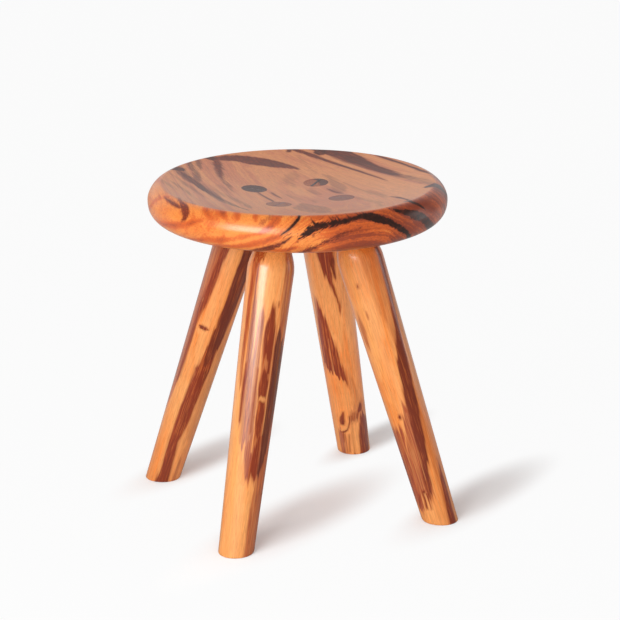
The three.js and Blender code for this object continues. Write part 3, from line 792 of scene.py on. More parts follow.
# Soft bands: strength, tint from 0, orange brown, to 1, mauve, and the rows. On the front left
# leg two of them also carry painted shade
LEG_SOFT = {
    "front_left": (
        # Red brown band of the grain; where it widens over the shoulder, from about 366 mm up, it
        # is painted shade under the seat
        (1.0, 0.0, ((203, -26, -23), (212, -31, -22), (225, -33, -22), (240, -34, -21),
            (260, -34, -19), (280, -33, -18), (300, -33, -17), (320, -32, -13), (340, -31, -12),
            (358, -31, -10), (366, -31, 0), (374, -32, 8), (384, -33, 12))),
        (1.0, 1.0, ((158, -16, -12), (170, -18, -9), (185, -18, -8), (200, -18, -5),
            (220, -16.5, -2), (240, -15.5, 0), (262, -15, 1), (290, -15, 1), (304, -14, -2),
            (330, -13, -6), (362, -12, -6))),
        (0.8, 1.0, ((131, 5, 30), (134, -5, 31), (140, -8, 31), (150, -9, 32), (165, -10, 31),
            (185, -11, 31), (196, -13, 30), (210, -10, 27), (225, -4, 25), (245, 0, 25),
            (262, 3, 25), (280, 6, 24), (296, 10, 22), (306, 14, 17))),
        (0.9, 0.5, ((92, 24, 58), (98, 18, 60), (104, 16, 60), (112, 13, 58), (120, 10, 56),
            (130, 9, 40), (140, 13, 32), (160, 16, 31), (185, 18, 31), (205, 20, 28),
            (215, 22, 26))),
        (0.75, 0.0, ((130, 30, 57), (160, 30, 58), (190, 29, 58), (220, 27, 60), (250, 25, 60),
            (280, 26, 58), (292, 28, 55), (300, 33, 49))),
        (0.7, 0.3, ((96, 50, 100), (110, 50, 92), (150, 55, 98), (190, 56, 108), (230, 56, 114),
            (262, 56, 110), (276, 58, 94))),
        # Painted shade: the front left leg's right side, from about 47 degrees round, is painted
        # darker orange brown for the shade on the side away from the key lamp
        (0.8, 0.1, ((-20, 47, 150), (60, 49, 150), (110, 60, 150), (240, 74, 150), (300, 64, 150),
            (384, 60, 150))),
    ),
    "front_right": (
        (0.95, 0.15, ((44, -84, -60), (80, -92, -62), (100, -97, -62), (112, -98, -61),
            (122, -94, -60), (132, -90, -59), (142, -84, -58), (151, -79, -56), (162, -73, -56))),
        (1.0, 0.25, ((18, -122, -116), (28, -134, -107), (38, -144, -101), (44, -162, -99),
            (50, -185, -98), (70, -190, -100), (90, -190, -102), (104, -190, -100),
            (116, -188, -96), (126, -186, -92), (134, -180, -96))),
        (0.9, 0.25, ((36, -104, -84), (52, -104, -72), (70, -103, -66), (90, -103, -66),
            (105, -100, -66), (120, -96, -66))),
        (0.8, 0.0, ((244, -126, -116), (258, -132, -112), (268, -133, -111), (280, -129, -114),
            (292, -124, -118))),
        (0.5, 1.0, ((0, -36, -2), (30, -28, -2), (60, -20, -1), (100, -12, 0), (124, -9, -3))),
        (0.45, 1.0, ((236, -16, 12), (262, -14, 12), (300, -12, 12), (350, -14, 12),
            (384, -12, 12))),
        (0.3, 0.1, ((-20, -44, 6), (120, -36, 6), (230, -40, 8), (300, -62, 8), (384, -66, 8))),
    ),
    "back_left": (
        (0.85, 0.25, ((104, 14, 36), (120, 12, 44), (135, 10, 50), (150, 8, 56), (162, 8, 61),
            (180, 8, 63), (205, 10, 65), (240, 14, 66), (258, 18, 72), (280, 20, 82), (310, 22, 88),
            (340, 24, 90), (362, 26, 97), (384, 26, 100))),
        (0.6, 0.3, ((-6, 142, 160), (24, 143, 158), (42, 146, 155))),
        (0.25, 0.1, ((70, 138, 175), (150, 142, 180), (240, 160, 182))),
    ),
    "back_right": (
        (0.8, 0.6, ((-10, -205, -182), (12, -205, -182), (30, -206, -183), (46, -204, -182),
            (50, -203, -192))),
        (0.45, 0.1, ((64, -160, -84), (74, -158, -80), (82, -150, -78), (96, -122, -80))),
        (0.12, 0.2, ((90, -110, -60), (190, -112, -60), (240, -128, -60), (300, -134, -70),
            (350, -134, -80), (384, -134, -80))),
        (0.35, 0.0, ((84, -128, -104), (100, -134, -106), (120, -140, -118), (142, -150, -132),
            (158, -152, -140))),
        (0.6, 0.9, ((150, -220, -194), (200, -220, -192), (250, -220, -196), (268, -216, -200))),
    ),
}
# Pale outlines: strength and the rows
LEG_PALE = {
    "front_left": (
        (0.55, ((148, 55.5, 58.5), (160, 55.5, 59), (185, 55.5, 59), (192, 53.5, 58),
            (200, 54, 58.5), (215, 55.5, 59.5), (240, 55, 58.5), (262, 54.5, 58), (285, 54.5, 58),
            (296, 50, 54))),
        (0.6, ((128, 30, 33), (140, 29.5, 32.5), (152, 30.5, 33.5), (165, 27.5, 31),
            (180, 28, 31.5), (190, 30, 33.5), (198, 27.5, 31), (206, 24.5, 28), (225, 24, 27.5),
            (245, 23, 27.5), (258, 21.5, 25.5), (275, 22, 26), (288, 24, 28), (298, 29, 33))),
        (0.75, ((189.5, 36, 50), (193, 32, 53), (196.5, 35, 51))),
    ),
    "front_right": (
        (0.2, ((58, -107, -103), (80, -108, -104), (96, -108, -103), (108, -103, -98),
            (120, -97, -92), (132, -91, -86), (145, -85, -81))),
        (0.6, ((22, -90, -83), (34, -91, -84), (45, -93, -85))),
        (0.25, ((60, -73, -70), (92, -71.5, -68.5), (120, -71, -67.5), (152, -69.5, -66.5))),
    ),
    "back_left": (
        (0.7, ((230, 78, 98), (232.5, 70, 108), (235.5, 67, 111), (238, 68, 76))),
        (0.5, ((244, 74, 104), (246, 72, 108), (248, 80, 100))),
        (0.25, ((273, 61, 65), (276, 60, 66), (279, 62, 65))),
        (0.3, ((118, 48, 56), (158, 60, 66), (200, 66, 70), (256, 72, 78))),
    ),
    "back_right": (
        (0.75, ((48.5, -192, -180), (51, -197, -172), (53, -181, -167), (56, -171, -163.5),
            (60, -166, -161), (65, -162.5, -158), (70, -160, -156.5), (74, -158.5, -156.5))),
        (0.4, ((148, -186, -180), (180, -186, -182), (206, -185, -182))),
        (0.5, ((10, -163, -136), (30, -162, -136), (50, -158, -128), (60, -152, -126),
            (66, -148, -128))),
    ),
}
# Small crisp marks, such as knots, their outlines and drawn-out lines: greyness and the rows
LEG_MARKS = {
    "front_left": (
        (0.3, ((225, 46, 53), (234, 47, 53), (246, 46, 52))),
        (0.1, ((309.5, 54.6, 55.4), (312, 54.0, 56.0), (314.5, 54.6, 55.4))),
        (0.3, ((150, 21, 23), (180, 20, 22.5), (230, 21, 22.5))),
        (0.4, ((163, -16, -13), (180, -17, -12.5), (210, -16.5, -12), (235, -15.5, -13))),
    ),
    "front_right": (
        (0.5, ((146.5, -92, -88), (149, -95, -86), (151.5, -92, -88))),
        (0.35, ((22, -84, -81), (32, -85, -80), (44, -86, -75))),
        (0.45, ((23, -99, -94), (29, -100, -92), (36, -97, -90), (48, -95, -84))),
        (0.3, ((25, -131, -127), (33, -120, -116), (42, -110, -107))),
        (0.1, ((283, -91.3, -90.7), (287, -92, -90), (291, -91.3, -90.7))),
        (0.1, ((324, -94, -91), (326, -95, -90), (328, -93, -91))),
    ),
    "back_left": (
        (0.45, ((237.4, 84, 98), (239.2, 77, 106), (240.8, 75, 108), (242.6, 83, 98))),
        (0.3, ((60, 94, 97), (120, 97, 100), (180, 104, 107), (184, 108, 111))),
        (0.3, ((160, 62, 64), (200, 63, 65), (236, 65, 67))),
    ),
    "back_right": (
        (0.45, ((45.5, -190, -182), (48, -194, -172), (50.5, -175, -166), (54, -168, -162.5),
            (58, -163, -159), (63, -159.5, -155.5), (68, -157, -153), (74, -155, -152))),
        (0.3, ((60, -188, -176), (66, -190, -172), (72, -187, -172), (77, -180, -171),
            (82, -175, -171))),
        (0.4, ((60, -149, -147), (66, -149.5, -146), (75, -147, -145))),
        (0.4, ((62, -144, -142), (70, -144.5, -140.5), (78, -142, -140))),
        (0.4, ((64, -138, -136.5), (71, -138, -134.5), (78, -135, -133))),
        (0.4, ((62, -132, -129), (68, -131, -126), (76, -128, -120))),
        (0.35, ((76, -126, -108), (80, -124, -103), (85, -117, -103), (90, -112, -107))),
        (0.2, ((10, -178, -176.5), (28, -178, -176.5), (44, -179, -178))),
        (0.2, ((12, -170, -168.5), (26, -168, -166.5), (42, -164, -162.5))),
        (0.2, ((4, -154, -152.5), (30, -153, -151.5), (62, -150, -149))),
        (0.25, ((30, -184, -182), (40, -185, -182), (48, -185, -183))),
    ),
}
# Marks on the tenon ends in the dish: rows of x, y and width
TENON_DARK = {
    "back_left": ((0.75, ((-50, 33, 22), (-45, 42, 30), (-38, 50, 22))),),
    "back_right": ((1.0, ((47, 60, 6), (52, 55, 12), (54, 47, 14), (52, 38, 13), (48, 31, 8))),),
    "front_right": ((0.30, ((57, -34, 0), (56, -40, 1), (54, -46, 0))),),
    "front_left": ((0.30, ((-33, -36, 0), (-32, -42, 1), (-34, -50, 0))),),
}
# How strong the mauve is on each tenon's end, its tint, and how much darker its end grain is
TENON_END = {"back_left": (1.0, 1.0, 0.85), "back_right": (0.9, 0.2, 0.35),
             "front_right": (0.95, 0.8, 0.38), "front_left": (0.85, 0.8, 0.32)}
# How far each wedge is as pale as its tenon's end
FAINT_WEDGE = {"back_left": 0.2, "back_right": 0.0, "front_right": 0.7, "front_left": 0.7}
# How red each leg's plain wood is
LEG_REDNESS = {"front_left": 0.12, "front_right": 0.26, "back_left": 0.20, "back_right": 0.20}
# How much lighter each leg's wood is painted, as painted light: the back right leg stands in the
# shade of the seat and is painted lighter to make up for it
LEG_PAINTED_LIGHT = {"front_left": 0.0, "front_right": 0.0, "back_left": 0.0, "back_right": 0.27}
# Direction of the middle of each leg's growth rings, in degrees from that of its splay
RING_MIDDLE = {"front_left": 200, "front_right": 80, "back_left": 300, "back_right": 20}
# Where in the grain each leg is cut, so that no two look alike
GRAIN_SHIFT = {"front_left": 0, "front_right": 137, "back_left": 271, "back_right": 413}
RING_OFFSET, RING_CLIMB = 46, 0.02   # of the rings' middle, and how they widen along the leg
LEG_FIGURE = 0.45                # how strongly the growth rings show
SMALL_RADIUS = 8.0               # bands keep this leg radius on the sole and the tenon's end
PALE_RAGGED, MARK_RAGGED = 0.2, 0.0   # how ragged the ends of pale outlines and marks are
TENON_SOFT = 8.0                 # depth inside the soft band that covers each tenon
UNMARKED = -50.0                 # depth of the marks and pale outlines there


def paint_leg(leg, name, mesh):
    """Writes the bands, the grain and the growth rings on a leg's vertices. The rings' middle
    lies outside the leg, at another side of each."""
    points = vector_array(mesh.vertices, "co")
    x, y, along = (c / MM for c in leg.local(points))
    turn = np.degrees(np.arctan2(y, x))
    place = along, turn, np.maximum(np.hypot(x, y), SMALL_RADIUS)
    dark, grey = deepest_band(*place, LEG_DARK[name])
    soft, strength = deepest_band(*place, [(s, rows) for s, _, rows in LEG_SOFT[name]])
    _, tint = deepest_band(*place, [(t, rows) for _, t, rows in LEG_SOFT[name]])
    pale, paleness = deepest_band(*place, LEG_PALE[name], PALE_RAGGED)
    mark, mark_grey = deepest_band(*place, LEG_MARKS[name], MARK_RAGGED, MARK_SLOPE)

    # The tenon has a soft band all over and the marks of its end, which are traced from above
    marks = [(g, np.insert(smooth_path(rows), 2, 0.0, axis=1)) for g, rows in TENON_DARK[name]]
    end_dark, end_grey, _, _ = nearest_streak(points / MM * (1, 1, 0), marks)
    end_soft, end_tint, end_grain = TENON_END[name]
    on_tenon = along > leg.neck / MM + 1
    dark, grey, soft, strength, tint, pale, mark = (
        np.where(on_tenon, end, shaft) for end, shaft in (
            (end_dark, dark), (end_grey, grey), (TENON_SOFT, soft), (end_soft, strength),
            (end_tint, tint), (UNMARKED, pale), (UNMARKED, mark)))
    set_number(mesh, "end", np.where(on_tenon, end_grain, 0.0))
    set_number(mesh, "dark", dark)
    set_number(mesh, "mark", mark)
    set_number(mesh, "grey", np.where(mark > np.maximum(dark, -1.0), mark_grey, grey))
    set_number(mesh, "figure", LEG_FIGURE)
    set_vector(mesh, "soft", soft, strength, tint)
    # the third value is painted light: how much lighter the leg is painted
    set_vector(mesh, "pale", pale, paleness, LEG_PAINTED_LIGHT[name])

    angle, shift = math.radians(RING_MIDDLE[name]), GRAIN_SHIFT[name]
    ring = np.hypot(x - RING_OFFSET * math.cos(angle), y - RING_OFFSET * math.sin(angle))
    set_vector(mesh, "grain", (x + shift) * MM, along * MM, y * MM)
    set_number(mesh, "ring", (ring + along * RING_CLIMB) * MM)
    red = 0.10 * np.cos(np.radians(turn) - angle) + 0.08 * np.sin(along / 41 + shift)
    set_number(mesh, "red", LEG_REDNESS[name] + red)


def build_leg(sizes, name, azimuth, material):
    """Rings round the axis with the radius of the shaft at each height, closed by a sole that is
    cut level with the floor. Above the kerf's floor the tenon is two cheeks, ruled between the
    kerf's straight wall and the tenon's round."""
    leg = LegFrame(sizes, azimuth)
    surfaces = Surfaces()
    radius = sizes.tenon_radius
    kerf_floor = leg.dish - sizes.wedge_length - sizes.kerf_relief
    across = np.linspace(1, -1, CHEEK_CELLS + 1)
    kerf = np.linspace(-1, 1, KERF_CELLS + 1)

    def wall(along):
        """Half the kerf's width."""
        return leg.kerf_half(along) + sizes.glue_line

    def arc(along):
        """x and y on the round of one cheek."""
        start = np.arcsin(wall(along) / radius)
        turn = math.pi / 2 - across * (math.pi / 2 - start)
        return radius * np.cos(turn), radius * np.sin(turn)

    start = math.asin(float(wall(kerf_floor)) / radius)
    cheek = across[:-1] * (math.pi / 2 - start)
    turn = np.concatenate([start * kerf[:-1], math.pi / 2 - cheek,
                           math.pi + start * kerf[:-1], 1.5 * math.pi - cheek])
    cosine, sine = np.cos(turn), np.sin(turn)

    def ring(radii, along):
        return leg.world(radii * cosine, radii * sine, along)

    # The sole, its eased edge, the taper, the shoulder and the tenon up to the kerf's floor
    rings = []
    edge = sizes.foot_radius - sizes.foot_bevel
    for share in np.linspace(0, 1, SOLE_CELLS + 1):
        rings.append(ring(edge * share, leg.along_to_height(edge * share * cosine, 0.0)))
    for share in np.linspace(0, math.pi / 2, BEVEL_CELLS + 1)[1:]:
        out = edge + sizes.foot_bevel * math.sin(share)
        up = sizes.foot_bevel * (1 - math.cos(share))
        rings.append(ring(out, leg.along_to_height(out * cosine, 0.0) + up))
    lowest = leg.along_to_height(sizes.foot_radius * cosine, 0.0) + sizes.foot_bevel
    level = leg.shoulder - sizes.shoulder_rounding
    for share in np.linspace(0, 1, SHAFT_CELLS + 1)[1:]:
        along = lowest + (level - lowest) * share
        rings.append(ring(leg.shaft_radius(along), along))
    for along in np.linspace(level, leg.neck, SHOULDER_CELLS + 1)[1:]:
        rings.append(ring(leg.shaft_radius(along), along))
    for along in np.linspace(leg.neck, kerf_floor, TENON_CELLS + 1):
        rings.append(ring(radius, along))
    surfaces.add(np.stack(rings), wrap=True)

    # The kerf's floor
    y = kerf[:, None] * float(wall(kerf_floor)) * np.ones(len(across))
    x = across * np.sqrt(radius ** 2 - y ** 2)
    surfaces.add(leg.world(x, y, kerf_floor), flip=True)

    # The cheeks: round, wall and end
    share = np.linspace(0, 1, KERF_LEVELS + 1)[:, None]
    for side in (1, -1):
        along = kerf_floor + (leg.dish - kerf_floor) * share
        for _ in range(2):
            x, y = (side * v for v in arc(along))
            along = kerf_floor + (leg.along_to_dish(x, y) - kerf_floor) * share
        outer = leg.world(x, y, along)
        surfaces.add(outer)
        wall_x = side * across * abs(x[:, :1])
        wall_y = y[:, :1] * np.ones(len(across))
        wall_along = np.linspace(along[:, 0], along[:, -1], along.shape[1], axis=1)
        wall_along[-1] = leg.along_to_dish(wall_x[-1], wall_y[-1])
        wall_along[:, 0], wall_along[:, -1] = along[:, 0], along[:, -1]
        inner = leg.world(wall_x, wall_y, wall_along)
        surfaces.add(inner, flip=True)
        end_x, end_y = np.moveaxis(ruled(np.stack([wall_x[-1], wall_y[-1]], -1),
                                         np.stack([x[-1], y[-1]], -1), CAP_CELLS), -1, 0)
        cap = leg.world(end_x, end_y, leg.along_to_dish(end_x, end_y))
        cap[0], cap[-1] = inner[-1], outer[-1]
        surfaces.add(cap, flip=True)
    piece = make_object(f"leg_wood_{name}", surfaces, material, "leg_wood", f"leg_{name}")
    paint_leg(leg, name, piece.data)


def build_wedge(sizes, name, azimuth, material):
    """A tapered plate whose narrow edges follow the tenon's round and whose top follows the
    dish: the six sides of a box, bent to that shape."""
    leg = LegFrame(sizes, azimuth)
    surfaces = Surfaces()
    tip = leg.dish - sizes.wedge_length

    def place(across, thick, up):
        """A point of the box, with across and thick from -1 to 1 and up from 0 to 1."""
        across, thick, up = np.broadcast_arrays(across, thick, up)
        along = tip + (leg.dish - tip) * up
        for _ in range(3):
            y = thick * leg.kerf_half(along)
            x = across * np.sqrt(sizes.tenon_radius ** 2 - y ** 2)
            along = tip + (leg.along_to_dish(x, y) - tip) * up
        return leg.world(x, y, along)

    wide, thin = (np.linspace(-1, 1, cells + 1) for cells in WEDGE_CELLS[:2])
    tall = np.linspace(0, 1, WEDGE_CELLS[2] + 1)[:, None]
    for end in (-1, 1):
        surfaces.add(place(wide, end, tall), flip=end > 0)
        surfaces.add(place(end, thin, tall), flip=end < 0)
    surfaces.add(place(wide, thin[:, None], 0.0), flip=True)
    surfaces.add(place(wide, thin[:, None], 1.0))
    piece = make_object(f"wedge_wood_{name}", surfaces, material, "wedge_wood", f"wedge_{name}")
    x, y, along = leg.local(vector_array(piece.data.vertices, "co"))
    set_vector(piece.data, "grain", y, along, x)
    set_number(piece.data, "faint", FAINT_WEDGE[name])


# The varnish: its weight, and its weight where the dish and the tenons' ends have lost some of it
SEAT_VARNISH, LEG_VARNISH = (0.75, 0.50), (0.95, 0.38)
SEAT_COAT = {"Coat Roughness": 0.29, "Coat IOR": 1.75, "Specular IOR Level": 0.10}
LEG_COAT = {"Coat Roughness": 0.25, "Coat IOR": 1.75, "Specular IOR Level": 0.20}
# Noise in the wood: how far it is stretched along the grain, its width, detail and roughness
FIBRES, WISPS = (0.04, 0.0010, 2, 0.6), (0.08, 0.0040, 3, 0.6)
STRIPES, CLOUDS = (0.015, 0.0022, 2, 0.6), (0.25, 0.032, 2, 0.5)
PORES = (0.06, 0.0006, 1, 0.4)
WEDGE_CLOUDS, WEDGE_PORES = (0.2, 0.004, 3, 0.5), (0.15, 0.0005, 2, 0.5)
FLECK_STRETCH, FLECK_SIZE, FLECK_REACH = (0.13, 1, 0.5), 0.0014, 17.0
FINE_RING, WIDE_RING = (0.0026, 2), (0.0110, 1)     # width and detail of the growth rings
RING_BEND = (0.016, 0.003)       # how far the clouds and the wisps bend them
# How far the wisps, the fibres and the stripes fray the edges of what is painted, in millimetres
SEAT_SOFT_FRAY, LEG_SOFT_FRAY = (9.0, 4.0, 4.0), (4.0, 3.0, 3.0)
DARK_FRAY, LINE_FRAY, MARK_FRAY, PALE_FRAY = (5.0, 3.2, 2.6), (1.6, 1.2), (1.2, 0.7), (1.8, 1.0)
# How far the stripes and the clouds vary the plain wood between light and red
SEAT_MOTTLE, LEG_MOTTLE = (0.75, 0.9), (0.38, 0.45)
WEAR_AND_SHEEN = 0.32                      # how much of the dish's colour is its pale tan, partly wear and partly painted sheen
GRAIN_RELIEF = 0.0002            # depth of the fibres and the pores


class Recipe:
    """Adds shader nodes to a new material or world, one after another."""

    def __init__(self, owner):
        self.owner = owner
        self.owner.use_nodes = True
        self.tree = self.owner.node_tree
        self.tree.nodes.clear()

    def node(self, kind, inputs=(), **settings):
        made = self.tree.nodes.new(kind)
        for key, value in settings.items():
            setattr(made, key, value)
        for key, value in dict(inputs).items():
            if isinstance(value, bpy.types.NodeSocket):
                self.tree.links.new(value, made.inputs[key])
            elif value is not None:
                made.inputs[key].default_value = value
        return made

    def attribute(self, name, output="Fac"):
        return self.node("ShaderNodeAttribute", attribute_name=name).outputs[output]

    def parts(self, vector):
        return self.node("ShaderNodeSeparateXYZ", {0: vector}).outputs

    def math(self, operation, a, b=None, c=None, clamp=False):
        return self.node("ShaderNodeMath", {0: a, 1: b, 2: c}, operation=operation,
                         use_clamp=clamp).outputs[0]

    def scaled(self, vector, factors):
        return self.node("ShaderNodeVectorMath", {0: vector, 1: factors},
                         operation="MULTIPLY").outputs[0]

    def noise(self, vector, size, detail, roughness=0.5):
        """Noise whose features are about 'size' metres across."""
        return self.node("ShaderNodeTexNoise", {
            "Vector": vector, "Scale": 1 / size, "Detail": detail,
            "Roughness": roughness}).outputs["Fac"]

    def grained(self, grain, kind):
        """Noise that is stretched along the grain."""
        stretch, *look = kind
        return self.noise(self.scaled(grain, (1, stretch, 1)), *look)

    def noise_line(self, value, size, detail):
        return self.node("ShaderNodeTexNoise", {"W": value, "Scale": 1 / size, "Detail": detail},
                         noise_dimensions="1D").outputs["Fac"]

    def ramp(self, value, low, high, to_low=0.0, to_high=1.0):
        """Smoothly from to_low at low to to_high at high."""
        return self.node("ShaderNodeMapRange", {0: value, 1: low, 2: high, 3: to_low, 4: to_high},
                         interpolation_type="SMOOTHSTEP").outputs[0]

    def mix(self, share, a, b, blend="MIX"):
        a, b = (v if isinstance(v, bpy.types.NodeSocket) else (*v, 1.0) for v in (a, b))
        return self.node("ShaderNodeMix", {0: share, 6: a, 7: b}, data_type="RGBA",
                         blend_type=blend).outputs[2]

    def swayed(self, value, noise, amount, clamp=False):
        """Adds the noise, centred on zero and made 'amount' high, to a value."""
        centred = self.math("SUBTRACT", noise, 0.5)
        return self.math("MULTIPLY_ADD", centred, amount, value, clamp=clamp)

    def bump(self, height, strength, **settings):
        return self.node("ShaderNodeBump", {"Height": height, "Strength": strength,
                                            "Distance": GRAIN_RELIEF}, **settings).outputs[0]


def wood_material(name, colours, varnish, coat, flecked=False, marked=False):
    """Streaked, satin varnished wood. The vertices give the depth inside each streak in
    millimetres, and noise that is stretched along the grain frays the streaks' edges. The
    colours are the light, deep and red plain wood, the two kinds of soft band, the streaks and
    the darkest streaks, and for the seat the pale tan of its dish, partly wear and partly
    painted sheen."""
    light, deep, red, soft_band, second_band, dark_streak, black_streak, *worn_and_sheen = map(tuple, colours)
    r = Recipe(bpy.data.materials.new(name))
    grain = r.attribute("grain", "Vector")
    fibres, wisps, stripes, clouds = (
        r.grained(grain, kind) for kind in (FIBRES, WISPS, STRIPES, CLOUDS))
    bent = r.attribute("ring")
    for noise, amount in zip((clouds, wisps), RING_BEND):
        bent = r.math("MULTIPLY_ADD", noise, amount, bent)
    fine_rings, wide_rings = r.noise_line(bent, *FINE_RING), r.noise_line(bent, *WIDE_RING)

    def frayed(depth, amounts):
        for noise, amount in zip((wisps, fibres, stripes), amounts):
            depth = r.swayed(depth, noise, amount)
        return depth

    # Plain wood, from its lightest to its reddest
    figure = r.attribute("figure")
    mottle = SEAT_MOTTLE if flecked else LEG_MOTTLE
    share = r.swayed(r.attribute("red"), wide_rings, r.math("MULTIPLY", figure, 1.1))
    share = r.swayed(share, fine_rings, r.math("MULTIPLY", figure, 0.8))
    share = r.swayed(share, stripes, mottle[0])
    share = r.swayed(share, wisps, 0.35)
    share = r.swayed(share, clouds, mottle[1], clamp=True)
    surface = r.mix(r.ramp(share, 0.0, 0.5), light, deep)
    surface = r.mix(r.ramp(share, 0.45, 1.0), surface, red)
    # On the dish, a pale tan: partly wear, partly painted sheen that stands in for its whitish
    # reflection
    if flecked:
        bare = r.attribute("worn_and_sheen")
        surface = r.mix(r.math("MULTIPLY", bare, WEAR_AND_SHEEN), surface, *worn_and_sheen)

    # Soft bands, from the first kind to the second by their tint; on the front left leg they also
    # carry painted shade
    depth, strength, tint = r.parts(r.attribute("soft", "Vector"))
    edge = r.ramp(frayed(depth, SEAT_SOFT_FRAY if flecked else LEG_SOFT_FRAY), -1.8, 2.2)
    band = r.math("MULTIPLY", edge, strength)
    band = r.math("MULTIPLY", band, r.ramp(stripes, 0.32, 0.60, 0.55, 1.1), clamp=True)
    band_colour = r.mix(r.swayed(tint, stripes, 0.9, clamp=True), soft_band, second_band)
    lighter = r.ramp(r.swayed(stripes, fibres, 0.8), 0.5, 0.72, 0.0, 0.35)
    surface = r.mix(band, surface, r.mix(lighter, band_colour, deep))

    # Dark streaks, with a red fringe and lighter stripes
    streak = frayed(r.attribute("dark"), DARK_FRAY)
    if flecked:
        place, weight = r.attribute("fleck", "Vector"), r.attribute("fleck_weight")
        flecks = r.noise(r.scaled(place, FLECK_STRETCH), FLECK_SIZE, 2, 0.6)
        streak = r.swayed(streak, flecks, r.math("MULTIPLY", weight, FLECK_REACH))
        offset, half, _ = r.parts(r.attribute("line", "Vector"))
        inside = r.math("SUBTRACT", half, r.math("ABSOLUTE", offset))
        streak = r.math("MAXIMUM", streak, frayed(inside, LINE_FRAY))
    if marked:
        streak = r.math("MAXIMUM", streak, frayed(r.attribute("mark"), MARK_FRAY))
    fringe = r.math("MULTIPLY", r.ramp(streak, -3.0, 0.2), 0.5)
    surface = r.mix(fringe, surface, soft_band)
    grey = r.swayed(r.attribute("grey"), wisps, 0.8, clamp=True)
    lighter = r.math("MULTIPLY", r.ramp(r.swayed(stripes, fibres, 0.7), 0.50, 0.70), 0.34)
    lighter = r.math("MULTIPLY", lighter, r.math("SUBTRACT", 1.1, grey))
    streak_colour = r.mix(lighter, r.mix(grey, dark_streak, black_streak), deep)
    surface = r.mix(r.ramp(streak, -0.7, 0.9), surface, streak_colour)

    # Pale outlines over all, each leg's painted light, which lightens the back right leg in the
    # seat's shade, and darker end grain
    if marked:
        depth, strength, tone = r.parts(r.attribute("pale", "Vector"))
        band = r.math("MULTIPLY", r.ramp(frayed(depth, PALE_FRAY), -0.6, 0.6), strength)
        surface = r.mix(band, surface, light)
        surface = r.node("ShaderNodeVectorMath", {0: surface, 3: r.math("ADD", tone, 1.0)},
                         operation="SCALE").outputs[0]
        end = r.attribute("end")
        bare = r.ramp(end, 0.0, 0.2)
        surface = r.mix(end, surface, [c * 0.25 for c in second_band])

    # Fibres and pores
    shade = r.mix(r.ramp(r.swayed(fibres, stripes, 0.5), 0.3, 0.7), (0.84, 0.80, 0.76),
                  (1.04, 1.04, 1.03))
    surface = r.mix(1.0, surface, shade, "MULTIPLY")
    pores = r.ramp(r.grained(grain, PORES), 0.63, 0.73)
    surface = r.mix(r.math("MULTIPLY", pores, 0.3), surface, dark_streak)
    height = r.math("SUBTRACT", r.math("MULTIPLY", fibres, 0.5), pores)
    shader = r.node("ShaderNodeBsdfPrincipled", {
        "Base Color": surface, "Roughness": r.ramp(fibres, 0.25, 0.75, 0.38, 0.52),
        "Normal": r.bump(height, 0.25), "Coat Weight": r.ramp(bare, 0.0, 1.0, *varnish), **coat})
    r.node("ShaderNodeOutputMaterial", {0: shader.outputs[0]})
    return r.owner


def wedge_material(colours):
    """Dark end grain: small round pores and a cloudy tone."""
    r = Recipe(bpy.data.materials.new("wedge_end_grain"))
    grain = r.attribute("grain", "Vector")
    clouds = r.grained(grain, WEDGE_CLOUDS)
    pores = r.ramp(r.grained(grain, WEDGE_PORES), 0.58, 0.70)
    surface = r.mix(r.ramp(clouds, 0.35, 0.7), colours.wedge, colours.seat_black)
    surface = r.mix(r.math("MULTIPLY", pores, 0.5), surface, colours.seat_streak)
    surface = r.mix(r.attribute("faint"), surface, colours.leg_mauve)
    shader = r.node("ShaderNodeBsdfPrincipled", {
        "Base Color": surface, "Roughness": r.ramp(clouds, 0.3, 0.7, 0.4, 0.55),
        "Normal": r.bump(pores, 0.2, invert=True), "Coat Weight": 0.3, "Coat Roughness": 0.15})
    r.node("ShaderNodeOutputMaterial", {0: shader.outputs[0]})
    return r.owner


CAMERA_AZIMUTH = math.radians(-111.98)   # where the camera stands round the stool
CAMERA_DISTANCE, CAMERA_HEIGHT = 2.9416, 1.1633
CAMERA_PITCH, CAMERA_YAW, CAMERA_ROLL = (math.radians(d) for d in (17.097, 0.305, -0.040))
CAMERA_LENS, SENSOR_WIDTH = 138.87, 36.0
FLOOR_RADIUS, FLOOR_MIDDLE = 14.0, 0.05  # of the outermost and the innermost ring of points
KEY_AZIMUTH = math.radians(-147)         # the shadows fall the other way
# Lamps: direction, elevation, distance, width, height, power, and whether reflections show them
LAMPS = {
    "key": (KEY_AZIMUTH, math.radians(27), 1.5, 0.86, 0.62, 12.0, True),
    "fill": (math.radians(-118), math.radians(11), 1.7, 1.0, 0.7, 7.8, False),
    "side": (math.radians(-10), math.radians(15), 1.6, 0.35, 0.95, 1.5, True),
}
LAMP_AIM = 0.2                   # the lamps face the stool's axis at this height
SKY_LEVEL = 0.76
FRONT_SHINE = 0.10               # level of the room in front in reflections
FLOOR_SHINE_FRONT, FLOOR_SHINE_BACK = 0.22, 0.85  # shares of the floor's light in reflections
FLOOR_SHINE_START, FLOOR_SHINE_END = -0.3, 0.9    # how far behind the stool that changes
SHINE_AZIMUTH = CAMERA_AZIMUTH + math.radians(192)  # where the white back is brightest
SHINE_START, SHINE_END = 0.40, 0.90      # cosines from there, between which it grows to white
FOOT_PLACE = 0.14                # of each foot, along x and along y
SHADOW_REACH = 0.11              # from a foot to the middle of its shadow
SHADOW_LENGTH, SHADOW_WIDTH = 0.19, 0.048   # halves of the ellipse that keeps the shadow
SHADOW_SHARE = {"back_right": 0.55, "back_left": 0.72, "front_left": 1.0, "front_right": 0.8}
FADE_START, FADE_END = 0.4, 1.5  # where the floor fades to white, in halves of that ellipse
FADE_SHARE = 0.97                # how much of it is white there
FLOOR_WHITE = 0.972              # level of that white
NO_SHADOW = 10.0                 # in the same halves, farther out than any shadow


def link_new(data, name):
    """Puts a new object with this data into the scene."""
    made = bpy.data.objects.new(name, data)
    bpy.context.scene.collection.objects.link(made)
    return made


